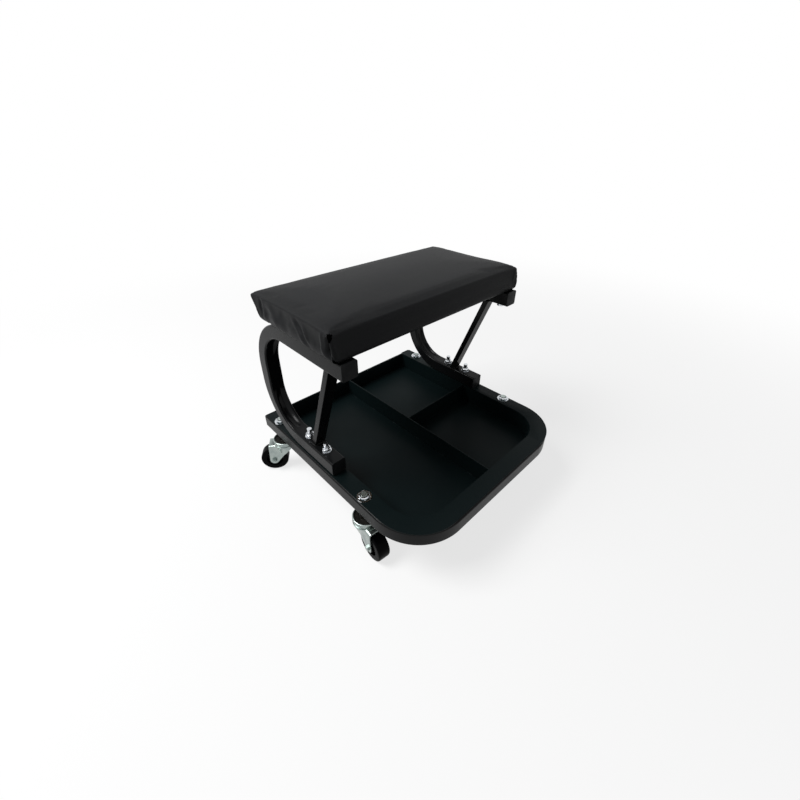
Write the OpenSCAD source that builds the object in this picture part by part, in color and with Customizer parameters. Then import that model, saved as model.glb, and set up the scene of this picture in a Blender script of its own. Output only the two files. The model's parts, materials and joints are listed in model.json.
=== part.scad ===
// Rolling creeper seat: a U-bent base tube on four swivel casters, a pressed
// tool tray on top of it, two C-bent side frames with struts, and a padded seat.
// Millimetres. X to the right, Y to the back, Z up. The origin is on the floor
// under the centre of the base.

/* [Base tube] */
// Width over the base tube
base_w = 384; // [350:1:420]
// Side of the square frame tube
tube_s = 25; // [23:0.5:27]
// Wall of the square frame tube
tube_wall = 1.5; // [1:0.1:2]
// Outside radius of the square tube's long edges
tube_edge_r = 3; // [2.5:0.1:4]
// Outside radius of the base tube's two front bends
base_bend_r = 85; // [80:1:90]

/* [Tray] */
// Sheet thickness of the tray
tray_t = 1.5; // [1:0.1:2]
// How far the tray's edge stays inside the base tube's outer face
tray_margin = 2; // [1:0.1:3]
// How far the base tube's ends run past the tray's rear edge
tray_rear_gap = 3; // [1:0.5:5]
// Radius of the tray's front corners
tray_corner_r = 75; // [65:1:80]
// Width of the tray's flat rim along the sides
tray_rim_w = 26; // [25:0.5:29]
// Width of the tray's flat rim along the front
tray_front_rim_w = 26.5; // [25.5:0.5:30]
// Width of the narrow rim along the rear wall
tray_rear_rim_w = 3; // [2.5:0.1:4]
// Depth of the basin below the rim
basin_depth = 35; // [28:0.5:42]
// Corner radius of the basin at the front
basin_front_r = 56; // [54:1:62]
// Corner radius of the basin at the rear
basin_rear_r = 5; // [3:0.5:8]
// Sheet thickness of the dividers
divider_t = 2; // [1:0.1:2.5]
// How far the dividers' edges stay below the rim
divider_drop = 1; // [0:0.1:4]
// Width of the foot that welds each divider to the floor
divider_foot_w = 12; // [8:0.5:16]
// Distance of the cross divider from the tray's front edge
cross_divider_back = 208; // [180:1:230]

/* [Side frames] */
// Distance of a side frame's centre line inside the base tube's outer face
frame_inset = 15.5; // [14.5:0.1:17]
// Setback of the frames' rear face from the base's rear end
frame_setback = 25.5; // [22:0.5:32]
// Height of a side frame over its two rails
frame_h = 221; // [205:1:240]
// Inside radius of the lower bend
frame_low_bend_r = 62; // [55:1:65]
// Inside radius of the upper bend
frame_top_bend_r = 67; // [60:1:70]
// How much thinner the bending leaves the tube across the middle of a bend
bend_flattening = 3.5; // [1:0.5:4.5]
// Depth of the dent in the inner wall of a bend
dent_depth = 5; // [3:0.5:6]
// Radius of the dent's hollow across the tube
dent_r = 10; // [9:0.5:11]
// Radius of the run that the dent's centre follows along the bend
dent_run_r = 40; // [35:1:42]
// Length of the lower rail, end cap included, from the frame's rear face
low_rail_l = 193; // [188:1:210]
// Length of the upper rail, end cap included, from the frame's rear face
top_rail_l = 242.5; // [230:0.5:255]
// Width of the struts across the seat
strut_w = 19; // [14:0.5:22]
// Depth of the struts from front to back
strut_d = 10; // [8:0.5:13]
// Wall of the struts
strut_wall = 1.5; // [1:0.1:2]
// Distance of the middle of the strut's foot behind the front frame bolt
strut_foot_back = 27.4; // [24:0.1:31]
// How far the strut leans forward from foot to top
strut_lean = 65.5; // [50:0.5:75]
// Thickness of the end plugs' lips
plug_lip_t = 1.5; // [1:0.1:2.5]
// Length of the end plugs' stubs inside the tube
plug_stub_l = 12; // [8:0.5:18]
// Wall of the end plugs' stubs
plug_wall = 1.6; // [1:0.1:2]

/* [Frame bolts] */
// Radius of the frame bolts
bolt_r = 4; // [3:0.5:4]
// Width across the flats of their nuts and heads
bolt_af = 13; // [12:0.5:14]
// Height of their nuts
bolt_nut_h = 6.8; // [5:0.1:8]
// Height of their heads
bolt_head_h = 5.3; // [4:0.1:6]
// Radius of their washers
bolt_washer_r = 8; // [7.6:0.1:9]
// Thickness of their washers
bolt_washer_t = 1.6; // [1:0.1:2]
// How far the threads stand above the nuts
bolt_end_h = 8; // [2:0.5:10]
// Distance of the front bolts from the lower rails' front ends
bolt_front = 31.7; // [26:0.1:36]
// Distance between the two bolts of a rail
bolt_pitch = 47.2; // [45:0.1:52]

/* [Casters] */
// Diameter of the wheels
wheel_d = 51; // [48:0.5:52]
// Width of the wheels' treads
wheel_w = 21; // [17:0.5:24]
// Radius of the wheels' shoulders
wheel_shoulder_r = 3; // [1.5:0.5:8]
// Radius at which the wheel's side recess ends
wheel_recess_r = 15; // [13:0.5:15.5]
// Depth of the wheel's side recess
wheel_recess_depth = 4; // [2:0.5:6]
// Radius of the wheels' hubs
wheel_hub_r = 8.5; // [7:0.5:10]
// Distance of the axle behind the swivel axis
trail = 23; // [18:0.5:26]
// Distance of the rear swivel axes from the base's rear end
caster_rear_inset = 39; // [32:1:46]
// Distance of the front swivel axes from the base's front edge
caster_front_inset = 122.3; // [115:0.1:135]
// Distance from the front swivel axes back to the lower rails' front ends
rail_to_caster = 64.2; // [50:0.1:80]
// Sheet thickness of the forks
fork_t = 2; // [1.5:0.1:2.5]
// Gap between the wheels' tops and the upper faces of the forks' crowns
crown_gap = 9; // [8:0.5:12]
// Radius of the ball cup on the crown
cup_r = 20.5; // [19:0.5:22]
// Height of the ball cup above the crown
cup_h = 9; // [8:0.5:12]
// Wall of the ball cup
cup_wall = 3.5; // [2:0.1:4]
// Height of the rolled bead round the cup's mouth
bead_h = 6; // [5:0.5:7]
// Depth of the neck under the bead
neck_depth = 1; // [0.5:0.1:1.5]
// Gap between the ball cups and the underside of the tray's basin
cup_gap = 2.5; // [1:0.5:6]
// Radius of the bearing balls
ball_r = 3; // [2.5:0.1:3]
// Radius of the circle that the balls run on
ball_ring_r = 13.5; // [13:0.5:14]
// Number of balls in a cup
ball_count = 13; // [8:1:13]
// Gap between a wheel's tread and each leg of its fork
wheel_gap = 1; // [0.6:0.1:3]
// Outside radius of the bend between a fork's crown and its legs
fork_bend_r = 4; // [3:0.5:6]
// Reach of the crown behind the swivel axis
crown_back = 29; // [26:0.5:32]
// Reach of the legs' tops in front of the swivel axis
crown_front = 17; // [14:0.5:19]
// Height of the upright edge under the front of the crown
crown_skirt_h = 4; // [2:0.5:8]
// Radius of the hollow in the legs' front edge
leg_hollow_r = 300; // [100:5:600]
// Height of the cone that widens the legs to the ball cup
shoulder_h = 24; // [12:0.5:28]
// Radius of the legs' ends round the axle
leg_end_r = 8; // [7:0.5:9]
// Radius of the axle bolts
axle_r = 2.5; // [2:0.1:3.5]
// Width across the flats of the axle bolts' heads and nuts
axle_af = 8; // [7:0.5:11]
// Height of the axle bolts' heads
axle_head_h = 3; // [2:0.1:5]
// Height of the axle nuts
axle_nut_h = 4; // [3:0.1:6]
// How far the axle bolts stand out of their nuts
axle_end_h = 1; // [0.5:0.1:2]
// Wall of the axle sleeves that the wheels turn on
sleeve_wall = 1.5; // [1:0.1:2]
// Radius of the casters' threaded stems
stem_r = 5; // [4:0.5:5]
// Width across the flats of the stems' nuts and collars
stem_af = 17; // [15:0.5:17]
// Height of the stems' nuts
stem_nut_h = 4; // [3:0.1:9]
// Height of the jam nuts under the base tube
jam_nut_h = 5; // [4:0.1:7]
// Radius of the stems' washers
stem_washer_r = 11; // [10:0.5:12]
// Thickness of the stems' washers
stem_washer_t = 1.5; // [1:0.1:2.5]
// How far the stems stand above their nuts
stem_end_h = 1; // [0.5:0.5:5]
// Thickness of the stem's top race
race_t = 1.5; // [1:0.1:2]
// Radius of the riveted end under the crown
rivet_r = 8.5; // [7:0.5:10]
// Thickness of the riveted end under the crown
rivet_t = 2.5; // [2:0.1:3]
// Swivel angle of the front left caster as photographed
front_left_turn = -95; // [-180:1:180]
// Swivel angle of the rear left caster as photographed
rear_left_turn = 144; // [-180:1:180]

/* [Seat] */
// Reach of the seat's underside past the side frames' centre lines
seat_reach = 12.5; // [11.5:0.5:16]
// Depth of the seat's underside
seat_d = 180; // [170:1:190]
// How far the rails' front ends stand out past the seat
rail_nose = 9.5; // [5:0.5:15]
// How far the seat's sides bulge out past its underside
seat_bulge = 7; // [4:0.5:10]
// How far the top of the seat sits back from its underside
seat_lean = 10; // [4:0.5:12]
// Height of the seat's corners above the rails
seat_corner_h = 39; // [32:0.5:44]
// How far the seat's long edges rise above its corners
seat_edge_rise = 3.5; // [2:0.5:7]
// How far the crown rises above the edges
seat_crown_rise = 4; // [2:0.5:8]
// Radius of the rounded upper edge
seat_round_r = 12; // [9:0.5:16]
// Corner radius of the seat's underside
seat_corner_r = 8; // [6:0.5:12]
// Thickness of the vinyl cover
cover_t = 1.2; // [0.8:0.1:1.5]
// Width of the cover's hem under the board
hem_w = 28; // [24:0.5:36]
// Thickness of the seat board
board_t = 12; // [9:0.5:15]
// Radius of the seat bolts
seat_bolt_r = 3; // [2.5:0.5:3]
// Width across the flats of the seat bolts' heads
seat_bolt_af = 10; // [9:0.5:11]
// Height of the seat bolts' heads
seat_bolt_head_h = 4; // [3:0.1:5]
// Radius of the seat bolts' washers
seat_washer_r = 6.2; // [5.8:0.1:7]
// Thickness of the seat bolts' washers
seat_washer_t = 1.6; // [1:0.1:2]
// Distance of the front seat bolts from the rails' front ends
seat_bolt_front = 20; // [18:0.5:28]
// Distance of the rear seat bolts in front of the upper bends
seat_bolt_rear = 14.5; // [8:0.5:20]
// Radius of the tee nuts' barrels
tee_r = 4; // [3.8:0.1:5]
// Length of the tee nuts' barrels in the board
tee_l = 8; // [6:0.5:8.5]
// Radius of the tee nuts' flanges
tee_flange_r = 9.5; // [8:0.5:11]
// Thickness of the tee nuts' flanges
tee_flange_t = 1.2; // [0.8:0.1:1.5]

/* [Hidden] */
$fn = 64;
// how far a cutting tool runs past what it cuts
over = 1;
// gap between threads or pins and the holes of the pieces that they hold
fit_gap = 0.05;
// gap round a fastener in a drilled hole
hole_gap = 0.25;
// gap beside an end plug's stub
plug_gap = 0.1;
// gap between a moving piece and its neighbour
run_gap = 0.3;
// gap between a bearing ball and each of its races
ball_gap = 0.03;
// gap between the foam or the board and the cover
soft_gap = 0.3;
// least gap between the rear frame bolts' washers and the lower bends
bend_gap = 2;
// how far each half of a bent tube's section reaches past the tube's middle
half_lap = 2;

// heights
crown_z = wheel_d + crown_gap;
cup_top = crown_z + cup_h;
base_z = cup_top + cup_gap + basin_depth - tube_s;
base_top = base_z + tube_s;
rim_z = base_top + tray_t;
floor_z = rim_z - basin_depth;
low_rail_top = rim_z + tube_s;
rail_top = rim_z + frame_h;
top_rail_z = rail_top - tube_s;

// plan
base_d = frame_setback + low_rail_l + rail_to_caster + caster_front_inset;
base_front = -base_d / 2;
base_rear = base_d / 2;
tube_rear = base_rear - plug_lip_t;
leg_x = (base_w - tube_s) / 2;
frame_x = base_w / 2 - frame_inset;
frame_rear = base_rear - frame_setback;
low_rail_front = frame_rear - low_rail_l;
top_rail_front = frame_rear - top_rail_l;
tray_w = base_w - 2 * tray_margin;
tray_front = base_front + tray_margin;
tray_rear = tube_rear - tray_rear_gap;
basin_w = tray_w - 2 * tray_rim_w;
basin_front = tray_front + tray_front_rim_w;
basin_rear = tray_rear - tray_rear_rim_w;
cross_y = tray_front + cross_divider_back;

// side frames and struts
outer_add = tube_s + bend_flattening / (sqrt(2) - 1);
// a lower bend is as tight as the rail behind its bolts needs, and its dent with it
low_bend_r = min(frame_low_bend_r, low_rail_l - outer_add - bolt_front - bolt_pitch - bolt_washer_r - bend_gap);
low_dent_run_r = dent_run_r - (frame_low_bend_r - low_bend_r);
top_bend_y = frame_rear - outer_add - frame_top_bend_r;
bolt_ys = [low_rail_front + bolt_front, low_rail_front + bolt_front + bolt_pitch];
strut_x = frame_x - tube_s / 2 + strut_w / 2;
strut_foot_y = bolt_ys[0] + strut_foot_back;
strut_top_y = strut_foot_y - strut_lean;
strut_rise = top_rail_z - low_rail_top;
strut_angle = atan(strut_lean / strut_rise);
seat_bolt_ys = [top_rail_front + seat_bolt_front, top_bend_y - seat_bolt_rear];
plug_in = tube_s - 2 * tube_wall - 2 * plug_gap;

// casters: place and swivel angle, the right-hand ones mirrored
rear_y = base_rear - caster_rear_inset;
front_y = base_front + caster_front_inset;
turns = [front_left_turn, 180 - front_left_turn, rear_left_turn, 180 - rear_left_turn];
spots = [[-leg_x, front_y], [leg_x, front_y], [-leg_x, rear_y], [leg_x, rear_y]];
axle_z = wheel_d / 2;
race_z = crown_z + 2 * ball_r + 2 * ball_gap;
race_r = cup_r - cup_wall - run_gap;
fork_gap = wheel_w + 2 * wheel_gap;
hub_w = fork_gap - 2 * run_gap;
sleeve_r = axle_r + fit_gap + sleeve_wall;
leg_half = fork_gap / 2 + fork_t;
head_z = base_z - jam_nut_h;

// seat
seat_w = 2 * (frame_x + seat_reach);
seat_z = rail_top;
seat_mid_y = top_rail_front + rail_nose + seat_d / 2;
board_z = seat_z + cover_t;
board_top = board_z + board_t;
board_gap = cover_t + soft_gap;
// points round a ring of the seat: along a long side, a short side, a corner
ring_long_count = 8;
ring_short_count = 4;
ring_arc_count = 4;
// from the underside up: share of the bulge still missing, share of the corner
// height, share of the underside's corner radius
side_shares = [[0.93, 0.05, 1], [0.6, 0.25, 0.9], [0.2, 0.56, 0.75], [0, 0.88, 0.6]];
// round the upper edge, in shares of a right angle
round_shares = [0.22, 0.5, 0.78, 1];
// over the crown: share of the way from the edge to the middle
crown_shares = [0.2, 0.45, 0.75];
// corner radius at the seat's widest ring, as a share of the underside's
tip_share = 0.6;
// how quickly the corners droop: a higher power keeps the droop nearer the tip
droop_power = 5;

// outlines
module rounded_square(s, r) {
    square([s - 2 * r, s], center = true);
    square([s, s - 2 * r], center = true);
    for (x = [-1, 1], y = [-1, 1]) translate([x * (s / 2 - r), y * (s / 2 - r)]) circle(r);
}

module tube_section(s, w, r) {
    difference() {
        rounded_square(s, r);
        rounded_square(s - 2 * w, r - w);
    }
}

module frame_section() {
    tube_section(tube_s, tube_wall, tube_edge_r);
}

// a plan outline with two large front corners and two small rear ones
module tray_outline(w, front, rear, rf, rr) {
    for (s = [-1, 1]) {
        translate([s * (w / 2 - rf), front + rf]) circle(rf);
        translate([s * (w / 2 - rr), rear - rr]) circle(rr);
    }
    translate([-(w / 2 - rf), front]) square([w - 2 * rf, rf]);
    translate([-w / 2, front + rf]) square([w, rear - front - rf - rr]);
    translate([-(w / 2 - rr), rear - rr]) square([w - 2 * rr, rr]);
}

module hex(af, h) {
    cylinder(h = h, r = af / 2 / cos(30), $fn = 6);
}

module nut(af, h, r) {
    difference() {
        hex(af, h);
        translate([0, 0, -over]) cylinder(h = h + 2 * over, r = r + fit_gap);
    }
}

module washer(r, t, hole) {
    difference() {
        cylinder(h = t, r = r);
        translate([0, 0, -over]) cylinder(h = t + 2 * over, r = hole);
    }
}

// a tube end plug, its lip's back face at z 0, its stub below
module plug() {
    linear_extrude(plug_lip_t) rounded_square(tube_s, tube_edge_r);
    translate([0, 0, -plug_stub_l]) linear_extrude(plug_stub_l)
        difference() {
            rounded_square(plug_in, tube_edge_r - tube_wall);
            square(plug_in - 2 * plug_wall, center = true);
        }
}

// places
module at_casters() {
    for (p = spots) translate([p[0], p[1], 0]) children();
}

module at_caster(i) {
    translate([spots[i][0], spots[i][1], 0]) rotate([0, 0, turns[i]]) children();
}

module at_frame_bolts() {
    for (s = [-1, 1], y = bolt_ys) translate([s * frame_x, y, 0]) children();
}

module at_seat_bolts() {
    for (s = [-1, 1], y = seat_bolt_ys) translate([s * frame_x, y, 0]) children();
}

// X across, Y up the page and Z out of it become Y, Z and X
module stand() {
    rotate([90, 0, 90]) children();
}

// base
module base_path() {
    for (s = [-1, 1])
        translate([s * leg_x, tube_rear, 0]) rotate([90, 0, 0])
            linear_extrude(tube_rear - base_front - base_bend_r) frame_section();
    translate([-(base_w / 2 - base_bend_r), base_front + tube_s / 2, 0]) rotate([90, 0, 90])
        linear_extrude(base_w - 2 * base_bend_r) frame_section();
    for (s = [0, 1])
        translate([(2 * s - 1) * (base_w / 2 - base_bend_r), base_front + base_bend_r, 0]) rotate([0, 0, 180 + 90 * s])
            rotate_extrude(angle = 90) translate([base_bend_r - tube_s / 2, 0]) frame_section();
}

module base_tube() {
    color("#202224") difference() {
        translate([0, 0, base_z + tube_s / 2]) base_path();
        translate([0, 0, base_z - over]) {
            at_casters() cylinder(h = tube_s + 2 * over, r = stem_r + hole_gap);
            at_frame_bolts() cylinder(h = tube_s + 2 * over, r = bolt_r + hole_gap);
        }
    }
}

module base_end_plugs() {
    color("#17181a") for (s = [-1, 1])
        translate([s * leg_x, tube_rear, base_z + tube_s / 2]) rotate([-90, 0, 0]) plug();
}

// tray
module tray() {
    color("#26282c") difference() {
        union() {
            translate([0, 0, base_top]) linear_extrude(tray_t)
                tray_outline(tray_w, tray_front, tray_rear, tray_corner_r, tray_margin);
            translate([0, 0, floor_z - tray_t]) linear_extrude(basin_depth)
                tray_outline(basin_w + 2 * tray_t, basin_front - tray_t, basin_rear + tray_t,
                    basin_front_r + tray_t, basin_rear_r + tray_t);
        }
        translate([0, 0, floor_z]) linear_extrude(basin_depth + over)
            tray_outline(basin_w, basin_front, basin_rear, basin_front_r, basin_rear_r);
        translate([0, 0, base_top - over]) {
            at_casters() cylinder(h = tray_t + 2 * over, r = stem_r + hole_gap);
            at_frame_bolts() cylinder(h = tray_t + 2 * over, r = bolt_r + hole_gap);
        }
    }
}

module long_divider() {
    color("#2b2d31") {
        translate([-divider_t / 2, basin_front, floor_z])
            cube([divider_t, basin_rear - basin_front, basin_depth - divider_drop]);
        translate([0, basin_front, floor_z])
            cube([divider_t / 2 + divider_foot_w, basin_rear - basin_front, divider_t]);
    }
}

module cross_divider() {
    color("#2b2d31") difference() {
        translate([divider_t / 2, cross_y, floor_z]) {
            cube([(basin_w - divider_t) / 2, divider_t, basin_depth - divider_drop]);
            cube([(basin_w - divider_t) / 2, divider_t + divider_foot_w, divider_t]);
        }
        translate([0, cross_y - over, floor_z - over])
            cube([divider_t / 2 + divider_foot_w, divider_t + divider_foot_w + 2 * over, divider_t + over]);
    }
}

// side frames, seen from the side: X to the back, Y up. A bend's outer wall runs
// on a larger radius than its inner wall, and the inner wall is dented
module run(x, y, turn, l) {
    translate([x, y, 0]) rotate([0, 0, turn]) rotate([90, 0, 0]) linear_extrude(l) children();
}

module at_low_bend(in, r) {
    translate([frame_rear - in - r, rim_z + in + r, 0]) rotate([0, 0, 270]) children();
}

module at_top_bend(in, r) {
    translate([frame_rear - in - r, rail_top - in - r, 0]) children();
}

module quarter(r) {
    rotate_extrude(angle = 90) translate([r, 0]) children();
}

// a wall of the frame that lies in from the frame's outline, with its two radii
module frame_path(in, low_r, top_r) {
    low_x = frame_rear - in - low_r;
    top_x = frame_rear - in - top_r;
    low_y = rim_z + in + low_r;
    top_y = rail_top - in - top_r;
    run(low_x, rim_z + in, 270, low_x - low_rail_front - plug_lip_t) children();
    at_low_bend(in, low_r) quarter(low_r) children();
    run(frame_rear - in, top_y, 0, top_y - low_y) children();
    at_top_bend(in, top_r) quarter(top_r) children();
    run(top_rail_front + plug_lip_t, rail_top - in, 90, top_x - top_rail_front - plug_lip_t) children();
}

// half of a section, its outer face at X 0
module outer_half() {
    intersection() {
        translate([-tube_s / 2, 0]) children();
        translate([-tube_s / 2 - half_lap, -tube_s]) square([tube_s, 2 * tube_s]);
    }
}

// the run of a dent of radius r in a bend whose inner wall has the radius bend_r
module dent(bend_r, run_r, r) {
    shift = bend_r + dent_depth - dent_r - run_r;
    rotate([0, 0, 45]) translate([shift, 0, 0]) rotate_extrude() translate([run_r, 0]) circle(r);
}

module dent_wall(bend_r, run_r) {
    intersection() {
        dent(bend_r, run_r, dent_r + tube_wall);
        quarter(bend_r) mirror([1, 0]) outer_half() rounded_square(tube_s, tube_edge_r);
    }
}

module frame_shell() {
    stand() difference() {
        union() {
            frame_path(0, low_bend_r + outer_add, frame_top_bend_r + outer_add) outer_half() frame_section();
            frame_path(tube_s, low_bend_r, frame_top_bend_r) mirror([1, 0]) outer_half() frame_section();
            at_low_bend(tube_s, low_bend_r) dent_wall(low_bend_r, low_dent_run_r);
            at_top_bend(tube_s, frame_top_bend_r) dent_wall(frame_top_bend_r, dent_run_r);
        }
        at_low_bend(tube_s, low_bend_r) dent(low_bend_r, low_dent_run_r, dent_r);
        at_top_bend(tube_s, frame_top_bend_r) dent(frame_top_bend_r, dent_run_r, dent_r);
    }
}

module frame_tube(s) {
    color("#1d1f21") translate([s * frame_x, 0, 0]) difference() {
        frame_shell();
        for (y = bolt_ys) translate([0, y, rim_z - over])
            cylinder(h = tube_s + 2 * over, r = bolt_r + hole_gap);
        for (y = seat_bolt_ys) translate([0, y, top_rail_z - over])
            cylinder(h = tube_s + 2 * over, r = seat_bolt_r + hole_gap);
    }
}

module left_frame_tube() { frame_tube(-1); }
module right_frame_tube() { frame_tube(1); }

module strut(s) {
    color("#222426") translate([s * strut_x, 0, 0]) intersection() {
        translate([0, (strut_foot_y + strut_top_y) / 2, (low_rail_top + top_rail_z) / 2])
            rotate([strut_angle, 0, 0]) linear_extrude(2 * strut_rise, center = true)
                difference() {
                    square([strut_w, strut_d], center = true);
                    square([strut_w - 2 * strut_wall, strut_d - 2 * strut_wall], center = true);
                }
        translate([-strut_w, strut_top_y - strut_lean, low_rail_top])
            cube([2 * strut_w, 3 * strut_lean, strut_rise]);
    }
}

module left_strut() { strut(-1); }
module right_strut() { strut(1); }

module frame_end_caps() {
    color("#17181a") for (s = [-1, 1]) {
        translate([s * frame_x, low_rail_front + plug_lip_t, rim_z + tube_s / 2]) rotate([90, 0, 0]) plug();
        translate([s * frame_x, top_rail_front + plug_lip_t, rail_top - tube_s / 2]) rotate([90, 0, 0]) plug();
    }
}

// frame bolts: head and washer under the base tube, washer and nut on the rail
bolt_nut_z = low_rail_top + bolt_washer_t;

module frame_bolts() {
    color("#c3c6c9") at_frame_bolts() {
        translate([0, 0, base_z - bolt_washer_t - bolt_head_h]) hex(bolt_af, bolt_head_h);
        translate([0, 0, base_z - bolt_washer_t - bolt_head_h])
            cylinder(h = bolt_nut_z + bolt_nut_h + bolt_end_h - base_z + bolt_washer_t + bolt_head_h, r = bolt_r);
    }
}

module frame_washers() {
    color("#c3c6c9") at_frame_bolts() {
        translate([0, 0, base_z - bolt_washer_t]) washer(bolt_washer_r, bolt_washer_t, bolt_r + hole_gap);
        translate([0, 0, low_rail_top]) washer(bolt_washer_r, bolt_washer_t, bolt_r + hole_gap);
    }
}

module frame_nuts() {
    color("#c3c6c9") at_frame_bolts() translate([0, 0, bolt_nut_z]) nut(bolt_af, bolt_nut_h, bolt_r);
}

// casters: stem, top race, king pin and riveted end are one turned piece
stem_top = rim_z + stem_washer_t + stem_nut_h + stem_end_h;

module caster_stems() {
    color("#b9bcc0") at_casters() {
        translate([0, 0, crown_z - fork_t - fit_gap - rivet_t]) {
            cylinder(h = rivet_t, r = rivet_r);
            cylinder(h = stem_top - crown_z + fork_t + fit_gap + rivet_t, r = stem_r);
        }
        translate([0, 0, race_z]) cylinder(h = race_t, r = race_r);
        translate([0, 0, race_z]) hex(stem_af, head_z - race_z);
    }
}

module caster_jam_nuts() {
    color("#b9bcc0") at_casters() translate([0, 0, head_z]) nut(stem_af, jam_nut_h, stem_r);
}

module caster_washers() {
    color("#c8cbce") at_casters() translate([0, 0, rim_z]) washer(stem_washer_r, stem_washer_t, stem_r + hole_gap);
}

module caster_nuts() {
    color("#c8cbce") at_casters() translate([0, 0, rim_z + stem_washer_t]) nut(stem_af, stem_nut_h, stem_r);
}

// the point where a line from p touches the circle round c, on the side s
function touch(p, c, r, s) =
    let (v = p - c, d = norm(v), a = atan2(v[1], v[0]) + s * acos(r / d))
    c + r * [cos(a), sin(a)];

// the lower centre of a circle of radius r that passes p and touches the one round c
function hollow_centre(p, c, leg_r, r) =
    let (v = p - c, d = norm(v), far = r + leg_r, a = acos((d * d + far * far - r * r) / (2 * d * far)))
    c + far * [cos(atan2(v[1], v[0]) + a), sin(atan2(v[1], v[0]) + a)];

// one leg seen from the side: X towards the trailing axle, Y up
module leg_outline() {
    c = [trail, axle_z];
    front = [-crown_front, crown_z];
    skirt = [-crown_front, crown_z - crown_skirt_h];
    back = [crown_back, crown_z];
    hollow = hollow_centre(skirt, c, leg_end_r, leg_hollow_r);
    translate(c) circle(leg_end_r);
    difference() {
        polygon([front, skirt, c + leg_end_r * (hollow - c) / norm(hollow - c), c, touch(back, c, leg_end_r, -1), back]);
        translate(hollow) circle(leg_hollow_r);
    }
}

// both legs and the crown seen along the trail: X sideways, Y up
module fork_bar(half, top, r) {
    low = axle_z - leg_end_r - over;
    translate([-half, low]) square([2 * half, top - r - low]);
    translate([-(half - r), low]) square([2 * (half - r), top - low]);
    for (s = [-1, 1]) translate([s * (half - r), top - r]) circle(r);
}

module fork_section() {
    difference() {
        fork_bar(leg_half, crown_z, fork_bend_r);
        translate([0, -over]) fork_bar(fork_gap / 2, crown_z - fork_t + over, fork_bend_r - fork_t);
    }
}

module fork() {
    difference() {
        union() {
            intersection() {
                translate([-2 * cup_r, 0, 0]) rotate([90, 0, 90]) linear_extrude(4 * cup_r) fork_section();
                rotate([90, 0, 0]) linear_extrude(2 * (leg_half + over), center = true) leg_outline();
            }
            intersection() {
                translate([0, 0, crown_z - shoulder_h]) cylinder(h = shoulder_h, r1 = leg_half, r2 = cup_r);
                for (s = [0, 1]) mirror([0, s, 0])
                    translate([-cup_r, fork_gap / 2, crown_z - shoulder_h]) cube([2 * cup_r, cup_r, shoulder_h]);
                rotate([90, 0, 0]) linear_extrude(2 * cup_r, center = true) leg_outline();
            }
            translate([0, 0, crown_z - fork_t]) cylinder(h = fork_t, r = cup_r);
            rotate_extrude() {
                translate([cup_r - cup_wall, crown_z]) square([cup_wall - neck_depth, cup_h - cup_wall / 2]);
                translate([cup_r - cup_wall, cup_top - bead_h + cup_wall / 2]) square([cup_wall, bead_h - cup_wall]);
                for (z = [cup_top - cup_wall / 2, cup_top - bead_h + cup_wall / 2])
                    translate([cup_r - cup_wall / 2, z]) circle(cup_wall / 2);
            }
        }
        translate([0, 0, crown_z - shoulder_h])
            cylinder(h = shoulder_h - fork_t, r1 = leg_half - fork_t, r2 = cup_r - fork_t - (cup_r - leg_half) * fork_t / shoulder_h);
        translate([0, 0, crown_z - fork_t - over]) cylinder(h = fork_t + 2 * over, r = stem_r + fit_gap);
        translate([trail, 0, axle_z]) rotate([90, 0, 0])
            cylinder(h = 2 * (leg_half + over), r = axle_r + fit_gap, center = true);
    }
}

module swivel_balls() {
    for (i = [0 : ball_count - 1])
        rotate([0, 0, 360 * i / ball_count])
            translate([ball_ring_r, 0, crown_z + ball_r + ball_gap]) sphere(ball_r);
}

module axle_bolt() {
    translate([trail, 0, axle_z]) rotate([90, 0, 0]) {
        translate([0, 0, leg_half]) hex(axle_af, axle_head_h);
        translate([0, 0, -leg_half - axle_nut_h - axle_end_h])
            cylinder(h = 2 * leg_half + axle_nut_h + axle_end_h, r = axle_r);
    }
}

module axle_nut() {
    translate([trail, 0, axle_z]) rotate([90, 0, 0])
        translate([0, 0, -leg_half - axle_nut_h]) nut(axle_af, axle_nut_h, axle_r);
}

module axle_sleeve() {
    translate([trail, 0, axle_z]) rotate([90, 0, 0]) difference() {
        cylinder(h = fork_gap, r = sleeve_r, center = true);
        cylinder(h = fork_gap + 2 * over, r = axle_r + fit_gap, center = true);
    }
}

module wheel_half_section() {
    bore = sleeve_r + fit_gap;
    translate([bore, 0]) square([wheel_hub_r - bore, hub_w / 2]);
    translate([bore, 0]) square([wheel_d / 2 - bore - wheel_shoulder_r, wheel_w / 2 - wheel_recess_depth]);
    translate([wheel_recess_r, 0]) square([wheel_d / 2 - wheel_shoulder_r - wheel_recess_r, wheel_w / 2]);
    translate([wheel_d / 2 - wheel_shoulder_r, 0]) square([wheel_shoulder_r, wheel_w / 2 - wheel_shoulder_r]);
    translate([wheel_d / 2 - wheel_shoulder_r, wheel_w / 2 - wheel_shoulder_r]) circle(wheel_shoulder_r);
}

module wheel() {
    translate([trail, 0, axle_z]) rotate([90, 0, 0]) rotate_extrude() {
        wheel_half_section();
        mirror([0, 1]) wheel_half_section();
    }
}

zinc = "#aeb4b8";
steel = "#9da1a5";
black = "#0f1011";

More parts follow.
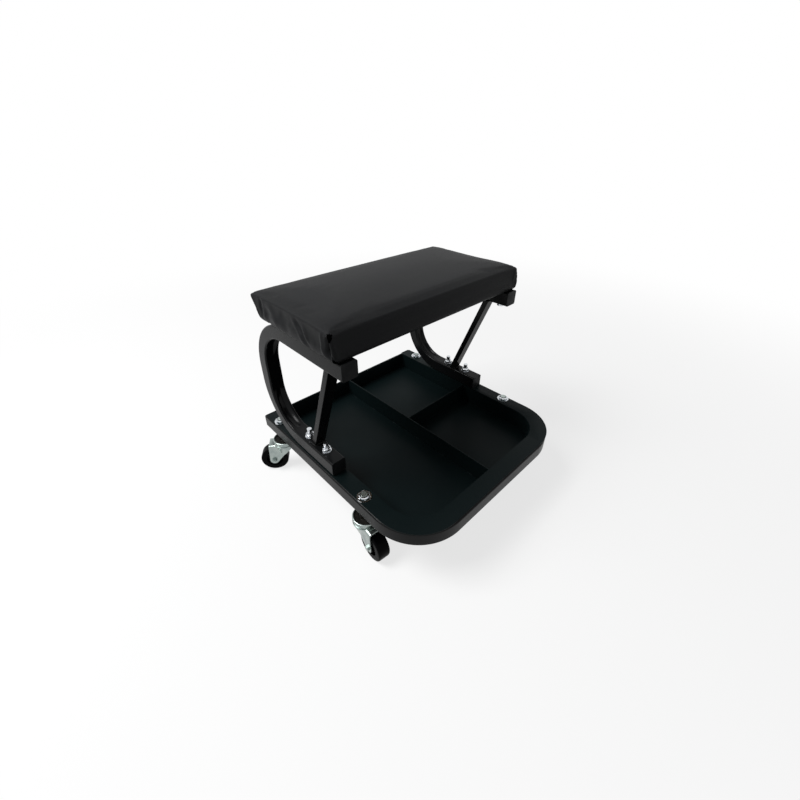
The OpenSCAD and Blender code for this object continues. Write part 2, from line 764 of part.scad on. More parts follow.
module fork_front_left() { color(zinc) at_caster(0) fork(); }
module fork_front_right() { color(zinc) at_caster(1) fork(); }
module fork_rear_left() { color(zinc) at_caster(2) fork(); }
module fork_rear_right() { color(zinc) at_caster(3) fork(); }
module swivel_balls_front_left() { color(steel) at_caster(0) swivel_balls(); }
module swivel_balls_front_right() { color(steel) at_caster(1) swivel_balls(); }
module swivel_balls_rear_left() { color(steel) at_caster(2) swivel_balls(); }
module swivel_balls_rear_right() { color(steel) at_caster(3) swivel_balls(); }
module axle_bolt_front_left() { color(zinc) at_caster(0) axle_bolt(); }
module axle_bolt_front_right() { color(zinc) at_caster(1) axle_bolt(); }
module axle_bolt_rear_left() { color(zinc) at_caster(2) axle_bolt(); }
module axle_bolt_rear_right() { color(zinc) at_caster(3) axle_bolt(); }
module axle_nut_front_left() { color(zinc) at_caster(0) axle_nut(); }
module axle_nut_front_right() { color(zinc) at_caster(1) axle_nut(); }
module axle_nut_rear_left() { color(zinc) at_caster(2) axle_nut(); }
module axle_nut_rear_right() { color(zinc) at_caster(3) axle_nut(); }
module axle_sleeve_front_left() { color(steel) at_caster(0) axle_sleeve(); }
module axle_sleeve_front_right() { color(steel) at_caster(1) axle_sleeve(); }
module axle_sleeve_rear_left() { color(steel) at_caster(2) axle_sleeve(); }
module axle_sleeve_rear_right() { color(steel) at_caster(3) axle_sleeve(); }
module wheel_front_left() { color(black) at_caster(0) wheel(); }
module wheel_front_right() { color(black) at_caster(1) wheel(); }
module wheel_rear_left() { color(black) at_caster(2) wheel(); }
module wheel_rear_right() { color(black) at_caster(3) wheel(); }

// seat: rings of points, each a rounded rectangle that bulges, leans and droops
// a ring is [inset from the widest ring, height over the underside, corner
// radius, share of the corner droop that it takes]
wide_x = seat_w / 2 + seat_bulge;
wide_y = seat_d / 2 + seat_bulge;
edge_h = seat_corner_h + seat_edge_rise;
tip_r = tip_share * seat_corner_r;
reach = wide_y - seat_round_r;

function ring_points(ring, off) =
    let (a = wide_x - ring[0] - off, b = wide_y - ring[0] - off,
        r = max(min(ring[2] - off, b), fit_gap),
        corners = [[1, 1, 0], [-1, 1, 90], [-1, -1, 180], [1, -1, 270]],
        arcs = [for (c = corners) [for (k = [0 : ring_arc_count])
            [c[0] * (a - r), c[1] * (b - r)] + r * [cos(c[2] + 90 * k / ring_arc_count), sin(c[2] + 90 * k / ring_arc_count)]]])
    [for (q = [0 : 3])
        let (p = arcs[q], last = p[ring_arc_count], next = arcs[(q + 1) % 4][0], n = q % 2 == 0 ? ring_long_count : ring_short_count)
        each concat(p, [for (k = [1 : n - 1]) last + (next - last) * k / n])];

function droop(p) = pow(abs(p[0]) / wide_x * abs(p[1]) / wide_y, droop_power);

function lean_at(h) = seat_lean * pow(h / edge_h, 2);

function ring_3d(ring, off, z) =
    [for (p = ring_points(ring, off))
        [p[0], p[1] + seat_mid_y + lean_at(ring[1]), z - seat_edge_rise * ring[3] * droop(p)]];

side_rings = [for (s = side_shares)
    [seat_bulge * s[0], edge_h * s[1], seat_corner_r * s[2], s[1]]];
wide_h = edge_h * side_shares[len(side_shares) - 1][1];
rise = edge_h - wide_h;

// height of a ring of the surface that lies off under the cover's outside
function inner_h(ring, off) = ring[1] - off * max(0, min(1, (ring[1] - wide_h) / rise));
round_rings = [for (s = round_shares)
    [seat_round_r * (1 - cos(90 * s)), edge_h - rise * (1 - sin(90 * s)), tip_r + (seat_corner_r - tip_r) * s, 1]];
crown_rings = [for (s = crown_shares)
    [seat_round_r + reach * s, edge_h + seat_crown_rise * sin(90 * s), seat_corner_r, 1]];
upper_rings = concat(side_rings, round_rings, crown_rings);
top_h = edge_h + seat_crown_rise;
ring_n = 4 * (ring_arc_count + 1) + 2 * (ring_long_count - 1) + 2 * (ring_short_count - 1);

// a closed skin from a pole, down its rings and, if there is one, up to a second pole
function skin_faces(rings, n, top_pole, end_pole) =
    concat(
        [for (i = [0 : n - 1]) [top_pole, i, (i + 1) % n]],
        [for (j = [0 : rings - 2], i = [0 : n - 1]) [j * n + i, (j + 1) * n + i, (j + 1) * n + (i + 1) % n]],
        [for (j = [0 : rings - 2], i = [0 : n - 1]) [j * n + i, (j + 1) * n + (i + 1) % n, j * n + (i + 1) % n]],
        [for (i = [0 : n - 1]) [end_pole, (rings - 1) * n + (i + 1) % n, (rings - 1) * n + i]]);

function reversed(v) = [for (i = [len(v) - 1 : -1 : 0]) v[i]];

// the cover: down the outside, in under the board, and up the inside
module cover_solid() {
    hem = [seat_bulge + hem_w, 0, seat_corner_r, 0];
    heel = [seat_bulge + cover_t, 0, seat_corner_r, 0];
    outer = [for (r = reversed(upper_rings)) ring_3d(r, 0, seat_z + r[1])];
    under = [ring_3d(heel, 0, seat_z), ring_3d(hem, 0, seat_z), ring_3d(hem, 0, seat_z + cover_t)];
    inner = concat([ring_3d(heel, 0, seat_z + cover_t)],
        [for (r = upper_rings) ring_3d(r, cover_t, seat_z + inner_h(r, cover_t))]);
    rings = concat(outer, under, inner);
    lean_y = seat_mid_y + lean_at(top_h);
    points = concat([for (r = rings) each r],
        [[0, lean_y, seat_z + top_h], [0, lean_y, seat_z + top_h - cover_t]]);
    count = len(rings);
    polyhedron(points, skin_faces(count, ring_n, count * ring_n, count * ring_n + 1));
}

module seat_cover() {
    color("#333537") difference() {
        cover_solid();
        at_seat_bolts() translate([0, 0, seat_z - over])
            cylinder(h = cover_t + 2 * over, r = seat_bolt_r + hole_gap);
    }
}

// the foam fills the cover above the board
module seat_foam() {
    off = cover_t + soft_gap;
    rings = [for (r = reversed(upper_rings)) if (r[1] > cover_t + board_t) ring_3d(r, off, seat_z + inner_h(r, off))];
    base = [for (r = reversed(upper_rings)) if (r[1] <= cover_t + board_t) r][0];
    flat = [for (p = ring_3d(base, off, board_top)) [p[0], p[1], board_top]];
    lean_y = seat_mid_y + lean_at(top_h);
    all = concat(rings, [flat]);
    points = concat([for (r = all) each r], [[0, lean_y, seat_z + top_h - off], [0, lean_y, board_top]]);
    color("#d8cf9e") polyhedron(points, skin_faces(len(all), ring_n, len(all) * ring_n, len(all) * ring_n + 1));
}

module seat_board() {
    w = seat_w - 2 * board_gap;
    d = seat_d - 2 * board_gap;
    color("#b08a5a") difference() {
        translate([0, seat_mid_y, board_z]) linear_extrude(board_t)
            tray_outline(w, -d / 2, d / 2, seat_corner_r - board_gap, seat_corner_r - board_gap);
        at_seat_bolts() translate([0, 0, board_z - over])
            cylinder(h = board_t + 2 * over, r = tee_r + fit_gap);
        at_seat_bolts() translate([0, 0, board_top - tee_flange_t])
            cylinder(h = tee_flange_t + over, r = tee_flange_r + fit_gap);
    }
}

module seat_bolts() {
    low = top_rail_z - seat_washer_t - seat_bolt_head_h;
    color("#c3c6c9") at_seat_bolts() {
        translate([0, 0, low]) hex(seat_bolt_af, seat_bolt_head_h);
        translate([0, 0, low]) cylinder(h = board_top - tee_flange_t - low, r = seat_bolt_r);
    }
}

module seat_washers() {
    color("#c3c6c9") at_seat_bolts() translate([0, 0, top_rail_z - seat_washer_t])
        washer(seat_washer_r, seat_washer_t, seat_bolt_r + hole_gap);
}

module seat_tee_nuts() {
    color("#c3c6c9") at_seat_bolts() difference() {
        union() {
            translate([0, 0, board_top - tee_flange_t]) cylinder(h = tee_flange_t, r = tee_flange_r);
            translate([0, 0, board_top - tee_flange_t - tee_l]) cylinder(h = tee_l + tee_flange_t, r = tee_r);
        }
        translate([0, 0, board_z - over]) cylinder(h = board_t + 2 * over, r = seat_bolt_r + fit_gap);
    }
}

base_tube();
base_end_plugs();
tray();
long_divider();
cross_divider();
left_frame_tube();
right_frame_tube();
left_strut();
right_strut();
frame_end_caps();
frame_bolts();
frame_washers();
frame_nuts();
caster_stems();
caster_jam_nuts();
caster_washers();
caster_nuts();
fork_front_left();
swivel_balls_front_left();
axle_bolt_front_left();
axle_nut_front_left();
axle_sleeve_front_left();
wheel_front_left();
fork_front_right();
swivel_balls_front_right();
axle_bolt_front_right();
axle_nut_front_right();
axle_sleeve_front_right();
wheel_front_right();
fork_rear_left();
swivel_balls_rear_left();
axle_bolt_rear_left();
axle_nut_rear_left();
axle_sleeve_rear_left();
wheel_rear_left();
fork_rear_right();
swivel_balls_rear_right();
axle_bolt_rear_right();
axle_nut_rear_right();
axle_sleeve_rear_right();
wheel_rear_right();
seat_board();
seat_foam();
seat_cover();
seat_bolts();
seat_washers();
seat_tee_nuts();
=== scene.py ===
# %% [markdown]
# # A rolling creeper seat
# A low workshop seat on four casters: a padded top on two C-bent square tubes,
# which stand on a U-bent base tube with a steel tool tray. Each cell below makes
# one piece or one finish, and says why it is made that way. The shapes and joints
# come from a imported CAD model, which every piece here has to fit.

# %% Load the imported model
import json
import math

import bmesh
import bpy
import numpy as np
from mathutils import Matrix, Vector
from mathutils.bvhtree import BVHTree
from mathutils.kdtree import KDTree


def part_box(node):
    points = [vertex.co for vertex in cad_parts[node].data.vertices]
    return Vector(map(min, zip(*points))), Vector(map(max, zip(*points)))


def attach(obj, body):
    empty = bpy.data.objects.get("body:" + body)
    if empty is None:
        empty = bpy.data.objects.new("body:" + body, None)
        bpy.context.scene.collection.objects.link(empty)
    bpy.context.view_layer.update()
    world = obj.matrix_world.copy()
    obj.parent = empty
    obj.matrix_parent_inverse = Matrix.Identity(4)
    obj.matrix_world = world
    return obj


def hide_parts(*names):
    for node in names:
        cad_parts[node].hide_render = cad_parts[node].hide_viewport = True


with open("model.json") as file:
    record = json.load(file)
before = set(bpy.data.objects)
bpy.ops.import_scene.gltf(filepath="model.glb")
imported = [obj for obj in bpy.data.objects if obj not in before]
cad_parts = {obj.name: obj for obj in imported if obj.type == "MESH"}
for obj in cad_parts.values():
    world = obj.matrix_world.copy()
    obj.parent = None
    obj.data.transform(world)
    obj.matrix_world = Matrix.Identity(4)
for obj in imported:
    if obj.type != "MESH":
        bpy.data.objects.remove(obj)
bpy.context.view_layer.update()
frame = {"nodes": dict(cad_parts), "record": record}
nodes = frame["nodes"]
body_of = {n: body for body, names in frame["record"]["behaviour"]["bodies"].items() for n in names}

# %% [markdown]
# ## The camera
# The camera stands where the photographer stood: in front of the left corner and
# 18 cm above the seat. A camera could be aimed by eye, but the straight tubes
# give its place closely, so its position, turn, tilt and lens are set as
# numbers. The view is wide, which is why the near corner of the tray looks large.

# %% Camera at the photograph's angle
MM = 0.001
EYE = Vector((-407.8, -395.2, 559.6)) * MM
TURN, TILT = math.radians(-43.7), math.radians(31.9)
FOCAL_PIXELS, FRAME_PIXELS, CENTRE_ROW = 385.5, 800, 374.6

backward = Vector((math.sin(TURN) * math.cos(TILT), -math.cos(TURN) * math.cos(TILT), math.sin(TILT)))
rightward = Vector((0, 0, 1)).cross(backward).normalized()
upward = backward.cross(rightward)
camera_data = bpy.data.cameras.new("camera")
camera = bpy.data.objects.new("camera", camera_data)
bpy.context.scene.collection.objects.link(camera)
camera.matrix_world = Matrix.Translation(EYE) @ Matrix((rightward, upward, backward)).transposed().to_4x4()
camera_data.sensor_width = 36
camera_data.lens = FOCAL_PIXELS / FRAME_PIXELS * camera_data.sensor_width
camera_data.shift_y = (CENTRE_ROW - FRAME_PIXELS / 2) / FRAME_PIXELS
camera_data.clip_start = 0.01
bpy.context.scene.camera = camera
print("lens", round(camera_data.lens, 2), "mm")

# %% [markdown]
# ## Helpers for materials
# Colours are written as the hex values that a screen shows, and one function
# turns them to the linear values that a renderer works with. A second function
# adds any node with its settings and its links in one line, so that each
# material below reads from its pattern to its surface.

# %% Colour and node helpers
def linear(hex_colour):
    """The linear red, green and blue of an sRGB hex colour, with alpha 1."""
    values = [int(hex_colour[i:i + 2], 16) / 255 for i in (1, 3, 5)]
    return [v / 12.92 if v <= 0.04045 else ((v + 0.055) / 1.055) ** 2.4 for v in values] + [1]


def add(tree, kind, inputs=(), **settings):
    """Add a node, set its properties, then set or link its inputs."""
    node = tree.nodes.new(kind)
    for name, value in settings.items():
        setattr(node, name, value)
    for key, value in dict(inputs).items():
        if isinstance(value, bpy.types.NodeSocket):
            tree.links.new(value, node.inputs[key])
        else:
            node.inputs[key].default_value = value
    return node


def calc(tree, how, a, b):
    return add(tree, "ShaderNodeMath", {0: a, 1: b}, operation=how).outputs[0]


def spread(tree, value, start, end, low=0.0, high=1.0, kind="LINEAR"):
    """Stretch the values from start to end over those from low to high."""
    return add(tree, "ShaderNodeMapRange", {"Value": value, "From Min": start, "From Max": end,
               "To Min": low, "To Max": high}, interpolation_type=kind).outputs[0]


def two_tone(tree, share, first, second):
    """A colour that runs from the first to the second as the share goes from 0 to 1."""
    ramp = add(tree, "ShaderNodeValToRGB", {"Fac": share})
    for element, colour in zip(ramp.color_ramp.elements, (first, second)):
        element.color = linear(colour)
    return ramp.outputs[0]


def new_material(name):
    """A material with an empty tree, and its Object coordinates."""
    material = bpy.data.materials.new(name)
    material.use_nodes = True
    tree = material.node_tree
    tree.nodes.clear()
    place = add(tree, "ShaderNodeTexCoord").outputs["Object"]
    return material, tree, place


def finish(tree, shader):
    """Link the shader to the material's output."""
    add(tree, "ShaderNodeOutputMaterial", {"Surface": shader.outputs[0]})


print("black as linear:", [round(v, 4) for v in linear("#141517")[:3]])

# %% [markdown]
# ## Powder coat on the tubes
# The tubes are mild steel under a gloss black polyester powder, sprayed dry and
# baked. It gives a smooth skin with a faint orange peel, cells 2 or 3 mm across,
# that breaks up reflections a little. A flat black would look like plastic, so
# the peel is a low bump and the gloss varies slowly along the tube.

# %% Gloss powder coat
def powder_coat(name, colour, roughness, peel_mm, peel_depth_mm, coat, spec):
    material, tree, place = new_material(name)
    peel = add(tree, "ShaderNodeTexNoise", {"Vector": place, "Scale": 1000 / peel_mm, "Detail": 1.0})
    drift = add(tree, "ShaderNodeTexNoise", {"Vector": place, "Scale": 1000 / 60, "Detail": 2.0})
    gloss = spread(tree, drift.outputs[0], 0.3, 0.7, roughness - 0.04, roughness + 0.05)
    bump = add(tree, "ShaderNodeBump", {"Height": peel.outputs[0], "Strength": 1.0, "Distance": peel_depth_mm * MM})
    surface = add(tree, "ShaderNodeBsdfPrincipled", {"Base Color": linear(colour), "Roughness": gloss,
                  "Normal": bump.outputs[0], "Coat Weight": coat, "Coat Roughness": 0.12,
                  "Specular IOR Level": spec, "IOR": 1.5})
    finish(tree, surface)
    return material


frame_black = powder_coat("polyester_powder_coat_gloss_black", "#101112", 0.28, 2.5, 0.02, 0.08, 0.05)
tray_black = powder_coat("polyester_powder_coat_satin_black", "#0a1314", 0.42, 1.5, 0.02, 0.0, 0.06)
print("powder coats made")

# %% [markdown]
# ## Moulded black plastic
# The end plugs are injection-moulded polyethylene from a spark-eroded mould,
# which leaves a fine even grain and a dull sheen. The wheels are moulded
# polypropylene, a little glossier and rubbed by the floor.

# %% Moulded plastics
def moulded_plastic(name, colour, roughness, grain_mm, depth_mm, spec):
    material, tree, place = new_material(name)
    grain = add(tree, "ShaderNodeTexNoise", {"Vector": place, "Scale": 1000 / grain_mm, "Detail": 2.0})
    rub = add(tree, "ShaderNodeTexNoise", {"Vector": place, "Scale": 1000 / 12, "Detail": 3.0})
    gloss = spread(tree, rub.outputs[0], 0.35, 0.65, roughness - 0.06, roughness + 0.08)
    bump = add(tree, "ShaderNodeBump", {"Height": grain.outputs[0], "Strength": 1.0, "Distance": depth_mm * MM})
    surface = add(tree, "ShaderNodeBsdfPrincipled", {"Base Color": linear(colour), "Roughness": gloss,
                  "Normal": bump.outputs[0], "Specular IOR Level": spec, "IOR": 1.49})
    finish(tree, surface)
    return material


plug_black = moulded_plastic("polyethylene_spark_grain_black", "#151617", 0.5, 0.5, 0.02, 0.1)
wheel_black = moulded_plastic("polypropylene_moulded_black", "#030304", 0.36, 0.8, 0.015, 0.03)
insert_black = moulded_plastic("nylon_insert_black", "#0a0b0b", 0.45, 0.5, 0.01, 0.1)
print("plastics made")

# %% [markdown]
# ## Zinc plate
# Bolts and nuts are bright zinc plated: a hard mirror with a cold blue cast from
# the passivation. The pressed forks are zinc plated too, but the rolled sheet
# under the plate scatters more, so they look pale grey with soft streaks. Both
# are metals, so the colour is in the reflection and the IOR stays as it is.

# %% Zinc finishes
def zinc_plate(name, colour, dull_colour, roughness, patch_mm):
    material, tree, place = new_material(name)
    patch = add(tree, "ShaderNodeTexNoise", {"Vector": place, "Scale": 1000 / patch_mm, "Detail": 2.0})
    tone = two_tone(tree, spread(tree, patch.outputs[0], 0.4, 0.7), colour, dull_colour)
    gloss = spread(tree, patch.outputs[0], 0.3, 0.7, roughness - 0.03, roughness + 0.05)
    surface = add(tree, "ShaderNodeBsdfPrincipled", {"Base Color": tone, "Metallic": 1.0,
                  "Roughness": gloss})
    finish(tree, surface)
    return material


bright_zinc = zinc_plate("zinc_plated_steel_bright", "#d5d8db", "#b9bec2", 0.16, 3)
sheet_zinc = zinc_plate("zinc_plated_steel_sheet", "#a1aaa6", "#8f9997", 0.27, 14)
bearing_steel = zinc_plate("bearing_steel_ground", "#a9aaac", "#97999b", 0.2, 5)
print("zinc finishes made")

# %% [markdown]
# ## Vinyl
# The cover is PVC vinyl on a knitted back, embossed with a fine leather grain.
# It is a charcoal black that scatters light softly and shows only a dull sheen.
# The grain cells are about 0.7 mm; here they are drawn at 1.1 mm so that they survive at this picture's size. Voronoi
# cells make the pebbles, and a slower noise varies the vinyl's tone a little. Where the sheet is tucked in at a corner
# no light gets into the slot, which is narrower than the mesh can show, so the few faces inside it take a near-black
# vinyl without any sheen: painted shade for the slot's depth.

# %% Vinyl with leather grain
def embossed_vinyl(name, colour, worn_colour, roughness, spec, sheen):
    material, tree, place = new_material(name)
    pebbles = add(tree, "ShaderNodeTexVoronoi", {"Vector": place, "Scale": 1000 / 1.1, "Randomness": 1.0},
                  feature="DISTANCE_TO_EDGE")
    valley = spread(tree, pebbles.outputs[0], 0.0, 0.22)
    slow = add(tree, "ShaderNodeTexNoise", {"Vector": place, "Scale": 1000 / 45, "Detail": 3.0})
    tone = two_tone(tree, spread(tree, slow.outputs[0], 0.35, 0.65), colour, worn_colour)
    bump = add(tree, "ShaderNodeBump", {"Height": valley, "Strength": 0.55, "Distance": 0.05 * MM})
    surface = add(tree, "ShaderNodeBsdfPrincipled", {"Base Color": tone, "Roughness": roughness,
                  "Normal": bump.outputs[0], "Specular IOR Level": spec, "IOR": 1.52,
                  "Sheen Weight": sheen, "Sheen Roughness": 0.5})
    finish(tree, surface)
    return material


vinyl = embossed_vinyl("pvc_vinyl_embossed_charcoal", "#111214", "#141516", 0.56, 0.085, 0.02)
# painted shade: a near-black vinyl without sheen for the faces inside the front left corner slot
painted_slot_shade_vinyl = embossed_vinyl("pvc_vinyl_painted_slot_shade", "#020202", "#040404", 0.8, 0.0, 0.0)
print("vinyl made")

# %% [markdown]
# ## Board and foam
# Under the cover lie a plywood board and a slab of cut polyurethane foam. The
# board shows from below, inside the hem. Its face veneer has long grain, drawn
# with a noise that is stretched along the board.

# %% Plywood and foam
def plywood_face(name, light, dark):
    material, tree, place = new_material(name)
    stretch = add(tree, "ShaderNodeMapping", {"Vector": place, "Scale": (1000 / 90, 1000 / 4, 1000 / 4)})
    grain = add(tree, "ShaderNodeTexNoise", {"Vector": stretch.outputs[0], "Scale": 1.0, "Detail": 6.0})
    tone = two_tone(tree, grain.outputs[0], dark, light)
    bump = add(tree, "ShaderNodeBump", {"Height": grain.outputs[0], "Strength": 0.6, "Distance": 0.1 * MM})
    surface = add(tree, "ShaderNodeBsdfPrincipled", {"Base Color": tone, "Roughness": 0.7,
                  "Normal": bump.outputs[0]})
    finish(tree, surface)
    return material


def cut_foam(name, colour):
    material, tree, place = new_material(name)
    cells = add(tree, "ShaderNodeTexVoronoi", {"Vector": place, "Scale": 1000 / 1.2})
    bump = add(tree, "ShaderNodeBump", {"Height": cells.outputs[0], "Strength": 1.0, "Distance": 0.3 * MM})
    surface = add(tree, "ShaderNodeBsdfPrincipled", {"Base Color": linear(colour), "Roughness": 0.9,
                  "Normal": bump.outputs[0]})
    finish(tree, surface)
    return material


plywood = plywood_face("birch_plywood_raw", "#c9a878", "#a98453")
foam = cut_foam("polyurethane_foam_cut", "#d9cf9f")
print("board and foam made")

# %% [markdown]
# ## Which node has which finish
# The record already says which material slot each CAD node takes, so the looks
# follow it. Nodes whose shape is right keep it and only change their material.

# %% Finish every CAD node
BY_SLOT = {"frame_black": frame_black, "tray_black": tray_black, "plug_black": plug_black,
           "zinc_fasteners": bright_zinc, "zinc_casters": sheet_zinc, "bearing_steel": bearing_steel,
           "wheel_black": wheel_black, "plywood": plywood, "seat_foam": foam, "vinyl": vinyl}
slot_of = {part["node"]: part["material_slot"] for part in frame["record"]["subparts"]}
for name, node in nodes.items():
    node.data.materials.clear()
    node.data.materials.append(BY_SLOT[slot_of[name]])
print("finished", len(nodes), "nodes")

# %% [markdown]
# ## Edges that catch the light
# Sheet and tube have no knife edges: cutting, bending and paint leave a radius
# of a few tenths of a millimetre, and that thin line is what the eye sees first
# on a black part. CAD leaves edges sharp. So the sheet parts, struts, plugs,
# forks and board are copied, their loose triangles are merged and joined into
# flat faces, and a small bevel with smooth shading rounds their edges. The copy
# stands for the node.

# %% Round the edges of sheet, tube and fork
SAME_POINT, OUTER_BAND = 0.002 * MM, 12 * MM


def as_object(data, name):
    """An object made from a mesh or a lamp, and put into the scene."""
    piece = bpy.data.objects.new(name, data)
    bpy.context.scene.collection.objects.link(piece)
    return piece


def keep_normals_outward(mesh):
    shape = bmesh.new()
    shape.from_mesh(mesh)
    bmesh.ops.recalc_face_normals(shape, faces=shape.faces)
    shape.to_mesh(mesh)
    shape.free()


def round_edges(name, width_mm, angle=40, draw_in_mm=0):
    """A clean copy of a node with rounded edges; its outline can be drawn in a little."""
    shape = bmesh.new()
    shape.from_mesh(nodes[name].data)
    bmesh.ops.remove_doubles(shape, verts=shape.verts, dist=SAME_POINT)
    bmesh.ops.dissolve_limit(shape, angle_limit=math.radians(0.5), verts=shape.verts, edges=shape.edges)
    bmesh.ops.recalc_face_normals(shape, faces=shape.faces)
    if draw_in_mm:
        low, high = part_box(name)
        for v in shape.verts:
            for axis in (0, 1):
                side = 1 if v.co[axis] > (low[axis] + high[axis]) / 2 else -1
                edge = high[axis] if side > 0 else low[axis]
                if abs(v.co[axis] - edge) < OUTER_BAND:
                    v.co[axis] -= side * draw_in_mm * MM
    mesh = bpy.data.meshes.new(name + "_rounded")
    shape.to_mesh(mesh)
    shape.free()
    mesh.shade_smooth()
    mesh.set_sharp_from_angle(angle=math.radians(angle))
    mesh.materials.append(BY_SLOT[slot_of[name]])
    piece = as_object(mesh, name + "_rounded")
    bevel = piece.modifiers.new("edge", "BEVEL")
    bevel.width = width_mm * MM
    bevel.segments = 2
    bevel.limit_method = "ANGLE"
    bevel.angle_limit = math.radians(angle)
    bevel.harden_normals = True
    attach(piece, body_of[name])
    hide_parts(name)
    return piece


rounded = {}
for name, width in (("tray", 0.5), ("long_divider", 0.5), ("cross_divider", 0.5), ("left_strut", 0.8),
                    ("right_strut", 0.8), ("frame_end_caps", 0.6), ("base_end_plugs", 0.6)):
    rounded[name] = round_edges(name, width)
for name in ("fork_front_left", "fork_front_right", "fork_rear_left", "fork_rear_right"):
    rounded[name] = round_edges(name, 0.35, angle=35)
rounded["seat_board"] = round_edges("seat_board", 1.0, draw_in_mm=1.5)
print("rounded", sorted(rounded))

# %% [markdown]
# ## Caster stems
# A caster's stem is one turned piece. Its upper end, above the tray, is bright, but the collar and race under the tube
# are darker. The copies of the stems and jam nuts take a second, dark material on every face below the base tube.

# %% Dark collars under the tube
# a dark, mottled steel for the faces that lie below the base tube
def dark_collar_steel(name):
    material, tree, place = new_material(name)
    mottle = add(tree, "ShaderNodeTexNoise", {"Vector": place, "Scale": 1000 / 5, "Detail": 4.0})
    tone = two_tone(tree, mottle.outputs[0], "#0b0b0a", "#1d1b18")
    gloss = spread(tree, mottle.outputs[0], 0.3, 0.7, 0.25, 0.5)
    surface = add(tree, "ShaderNodeBsdfPrincipled", {"Base Color": tone, "Roughness": gloss,
                  "Specular IOR Level": 0.2, "IOR": 1.47})
    finish(tree, surface)
    return material


dark_below_tube = dark_collar_steel("steel_dark_below_tube")
tube_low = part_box("base_tube")[0].z
for name in ("caster_stems", "caster_jam_nuts"):
    piece = rounded[name] = round_edges(name, 0.3, angle=35)
    piece.data.materials.append(dark_below_tube)
    for face in piece.data.polygons:
        face.material_index = 1 if face.center.z < tube_low else 0
print("collars darkened")

# %% [markdown]
# ## Threads, nuts, welds and staples
# These repeat, so each kind is a geometry-nodes tree that builds one item from
# its sizes, sets it on a few points, and ends as a plain mesh. The helper makes
# a tree with named inputs. A thread is a three-sided wire wound in a helix and
# sunk into the bolt. A locking nut is a hexagon with a round collar and a dark
# nylon ring. A weld is a row of flattened, overlapping drops, as each pulse of
# the torch leaves one. A staple is a bent wire pressed into the hem.

# %% Geometry nodes helpers
def socket_tree(name, inputs):
    """A geometry tree with one geometry input and named size inputs."""
    tree = bpy.data.node_groups.new(name, "GeometryNodeTree")
    tree.interface.new_socket(name="Geometry", in_out="INPUT", socket_type="NodeSocketGeometry")
    for key, value in inputs.items():
        kind = "NodeSocketMaterial" if isinstance(value, bpy.types.Material) else \
               "NodeSocketInt" if isinstance(value, int) else "NodeSocketFloat"
        tree.interface.new_socket(name=key, in_out="INPUT", socket_type=kind)
    tree.interface.new_socket(name="Geometry", in_out="OUTPUT", socket_type="NodeSocketGeometry")
    source = tree.nodes.new("NodeGroupInput")
    return tree, source.outputs


def end_on_points(tree, points, item, material=None, **how):
    """End the tree with the item set on every point, as one plain mesh."""
    placed = add(tree, "GeometryNodeInstanceOnPoints", {"Points": points, "Instance": item, **how})
    real = add(tree, "GeometryNodeRealizeInstances", {0: placed.outputs[0]})
    if material is not None:
        real = add(tree, "GeometryNodeSetMaterial", {"Geometry": real.outputs[0], "Material": material})
    add(tree, "NodeGroupOutput", {0: real.outputs[0]})


def points_mesh(name, points, edges=()):
    mesh = bpy.data.meshes.new(name)
    mesh.from_pydata([tuple(p) for p in points], list(edges), [])
    return mesh


def applied(piece):
    """The mesh that the modifiers give, as a plain mesh."""
    mesh = bpy.data.meshes.new_from_object(piece.evaluated_get(bpy.context.evaluated_depsgraph_get()))
    piece.modifiers.clear()
    return mesh


def build(name, tree, values, base, body, angle=35):
    """Run a tree on a base mesh and keep the result as a plain mesh."""
    carrier = as_object(base, name + "_points")
    run = carrier.modifiers.new("make", "NODES")
    run.node_group = tree
    for item in tree.interface.items_tree:
        if item.item_type == "SOCKET" and item.in_out == "INPUT" and item.name in values:
            run[item.identifier] = values[item.name]
    mesh = applied(carrier)
    bpy.data.objects.remove(carrier)
    mesh.name = name
    mesh.shade_smooth()
    mesh.set_sharp_from_angle(angle=math.radians(angle))
    piece = as_object(mesh, name)
    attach(piece, body)
    return piece


print("helpers ready")

# %% [markdown]
# ### Threads
# Each thread lies on the part of a bolt or stem that stands above its nut. The
# wire's corners reach 0.1 mm past the plain CAD shank, so the shank stays the
# root of the thread.

# %% Thread tree
def islands(name):
    """The boxes of the separate solids in a node, as (low, high) pairs in metres."""
    shape = bmesh.new()
    shape.from_mesh(nodes[name].data)
    bmesh.ops.remove_doubles(shape, verts=shape.verts, dist=SAME_POINT)
    left, found = set(shape.verts), []
    while left:
        stack, group = [left.pop()], []
        while stack:
            v = stack.pop()
            group.append(v.co.copy())
            for e in v.link_edges:
                other = e.other_vert(v)
                if other in left:
                    left.discard(other)
                    stack.append(other)
        found.append(tuple(Vector([pick(c[i] for c in group) for i in range(3)]) for pick in (min, max)))
    shape.free()
    return found


THREAD = {"Radius": 4 * MM, "Length": 10 * MM, "Pitch": 1.25 * MM, "Steel": bright_zinc}
thread_tree, size = socket_tree("thread", THREAD)
turns = calc(thread_tree, "DIVIDE", size["Length"], size["Pitch"])
wire_r = calc(thread_tree, "MULTIPLY", size["Pitch"], 0.5)
helix_r = calc(thread_tree, "ADD", calc(thread_tree, "SUBTRACT", size["Radius"], wire_r), 0.1 * MM)
helix = add(thread_tree, "GeometryNodeCurveSpiral", {"Resolution": 28, "Rotations": turns,
            "Start Radius": helix_r, "End Radius": helix_r, "Height": size["Length"]})
wire = add(thread_tree, "GeometryNodeCurvePrimitiveCircle", {"Resolution": 3, "Radius": wire_r})
thread = add(thread_tree, "GeometryNodeCurveToMesh", {"Curve": helix.outputs[0], "Profile Curve": wire.outputs[0],
             "Fill Caps": True})
end_on_points(thread_tree, size["Geometry"], thread.outputs[0], size["Steel"])


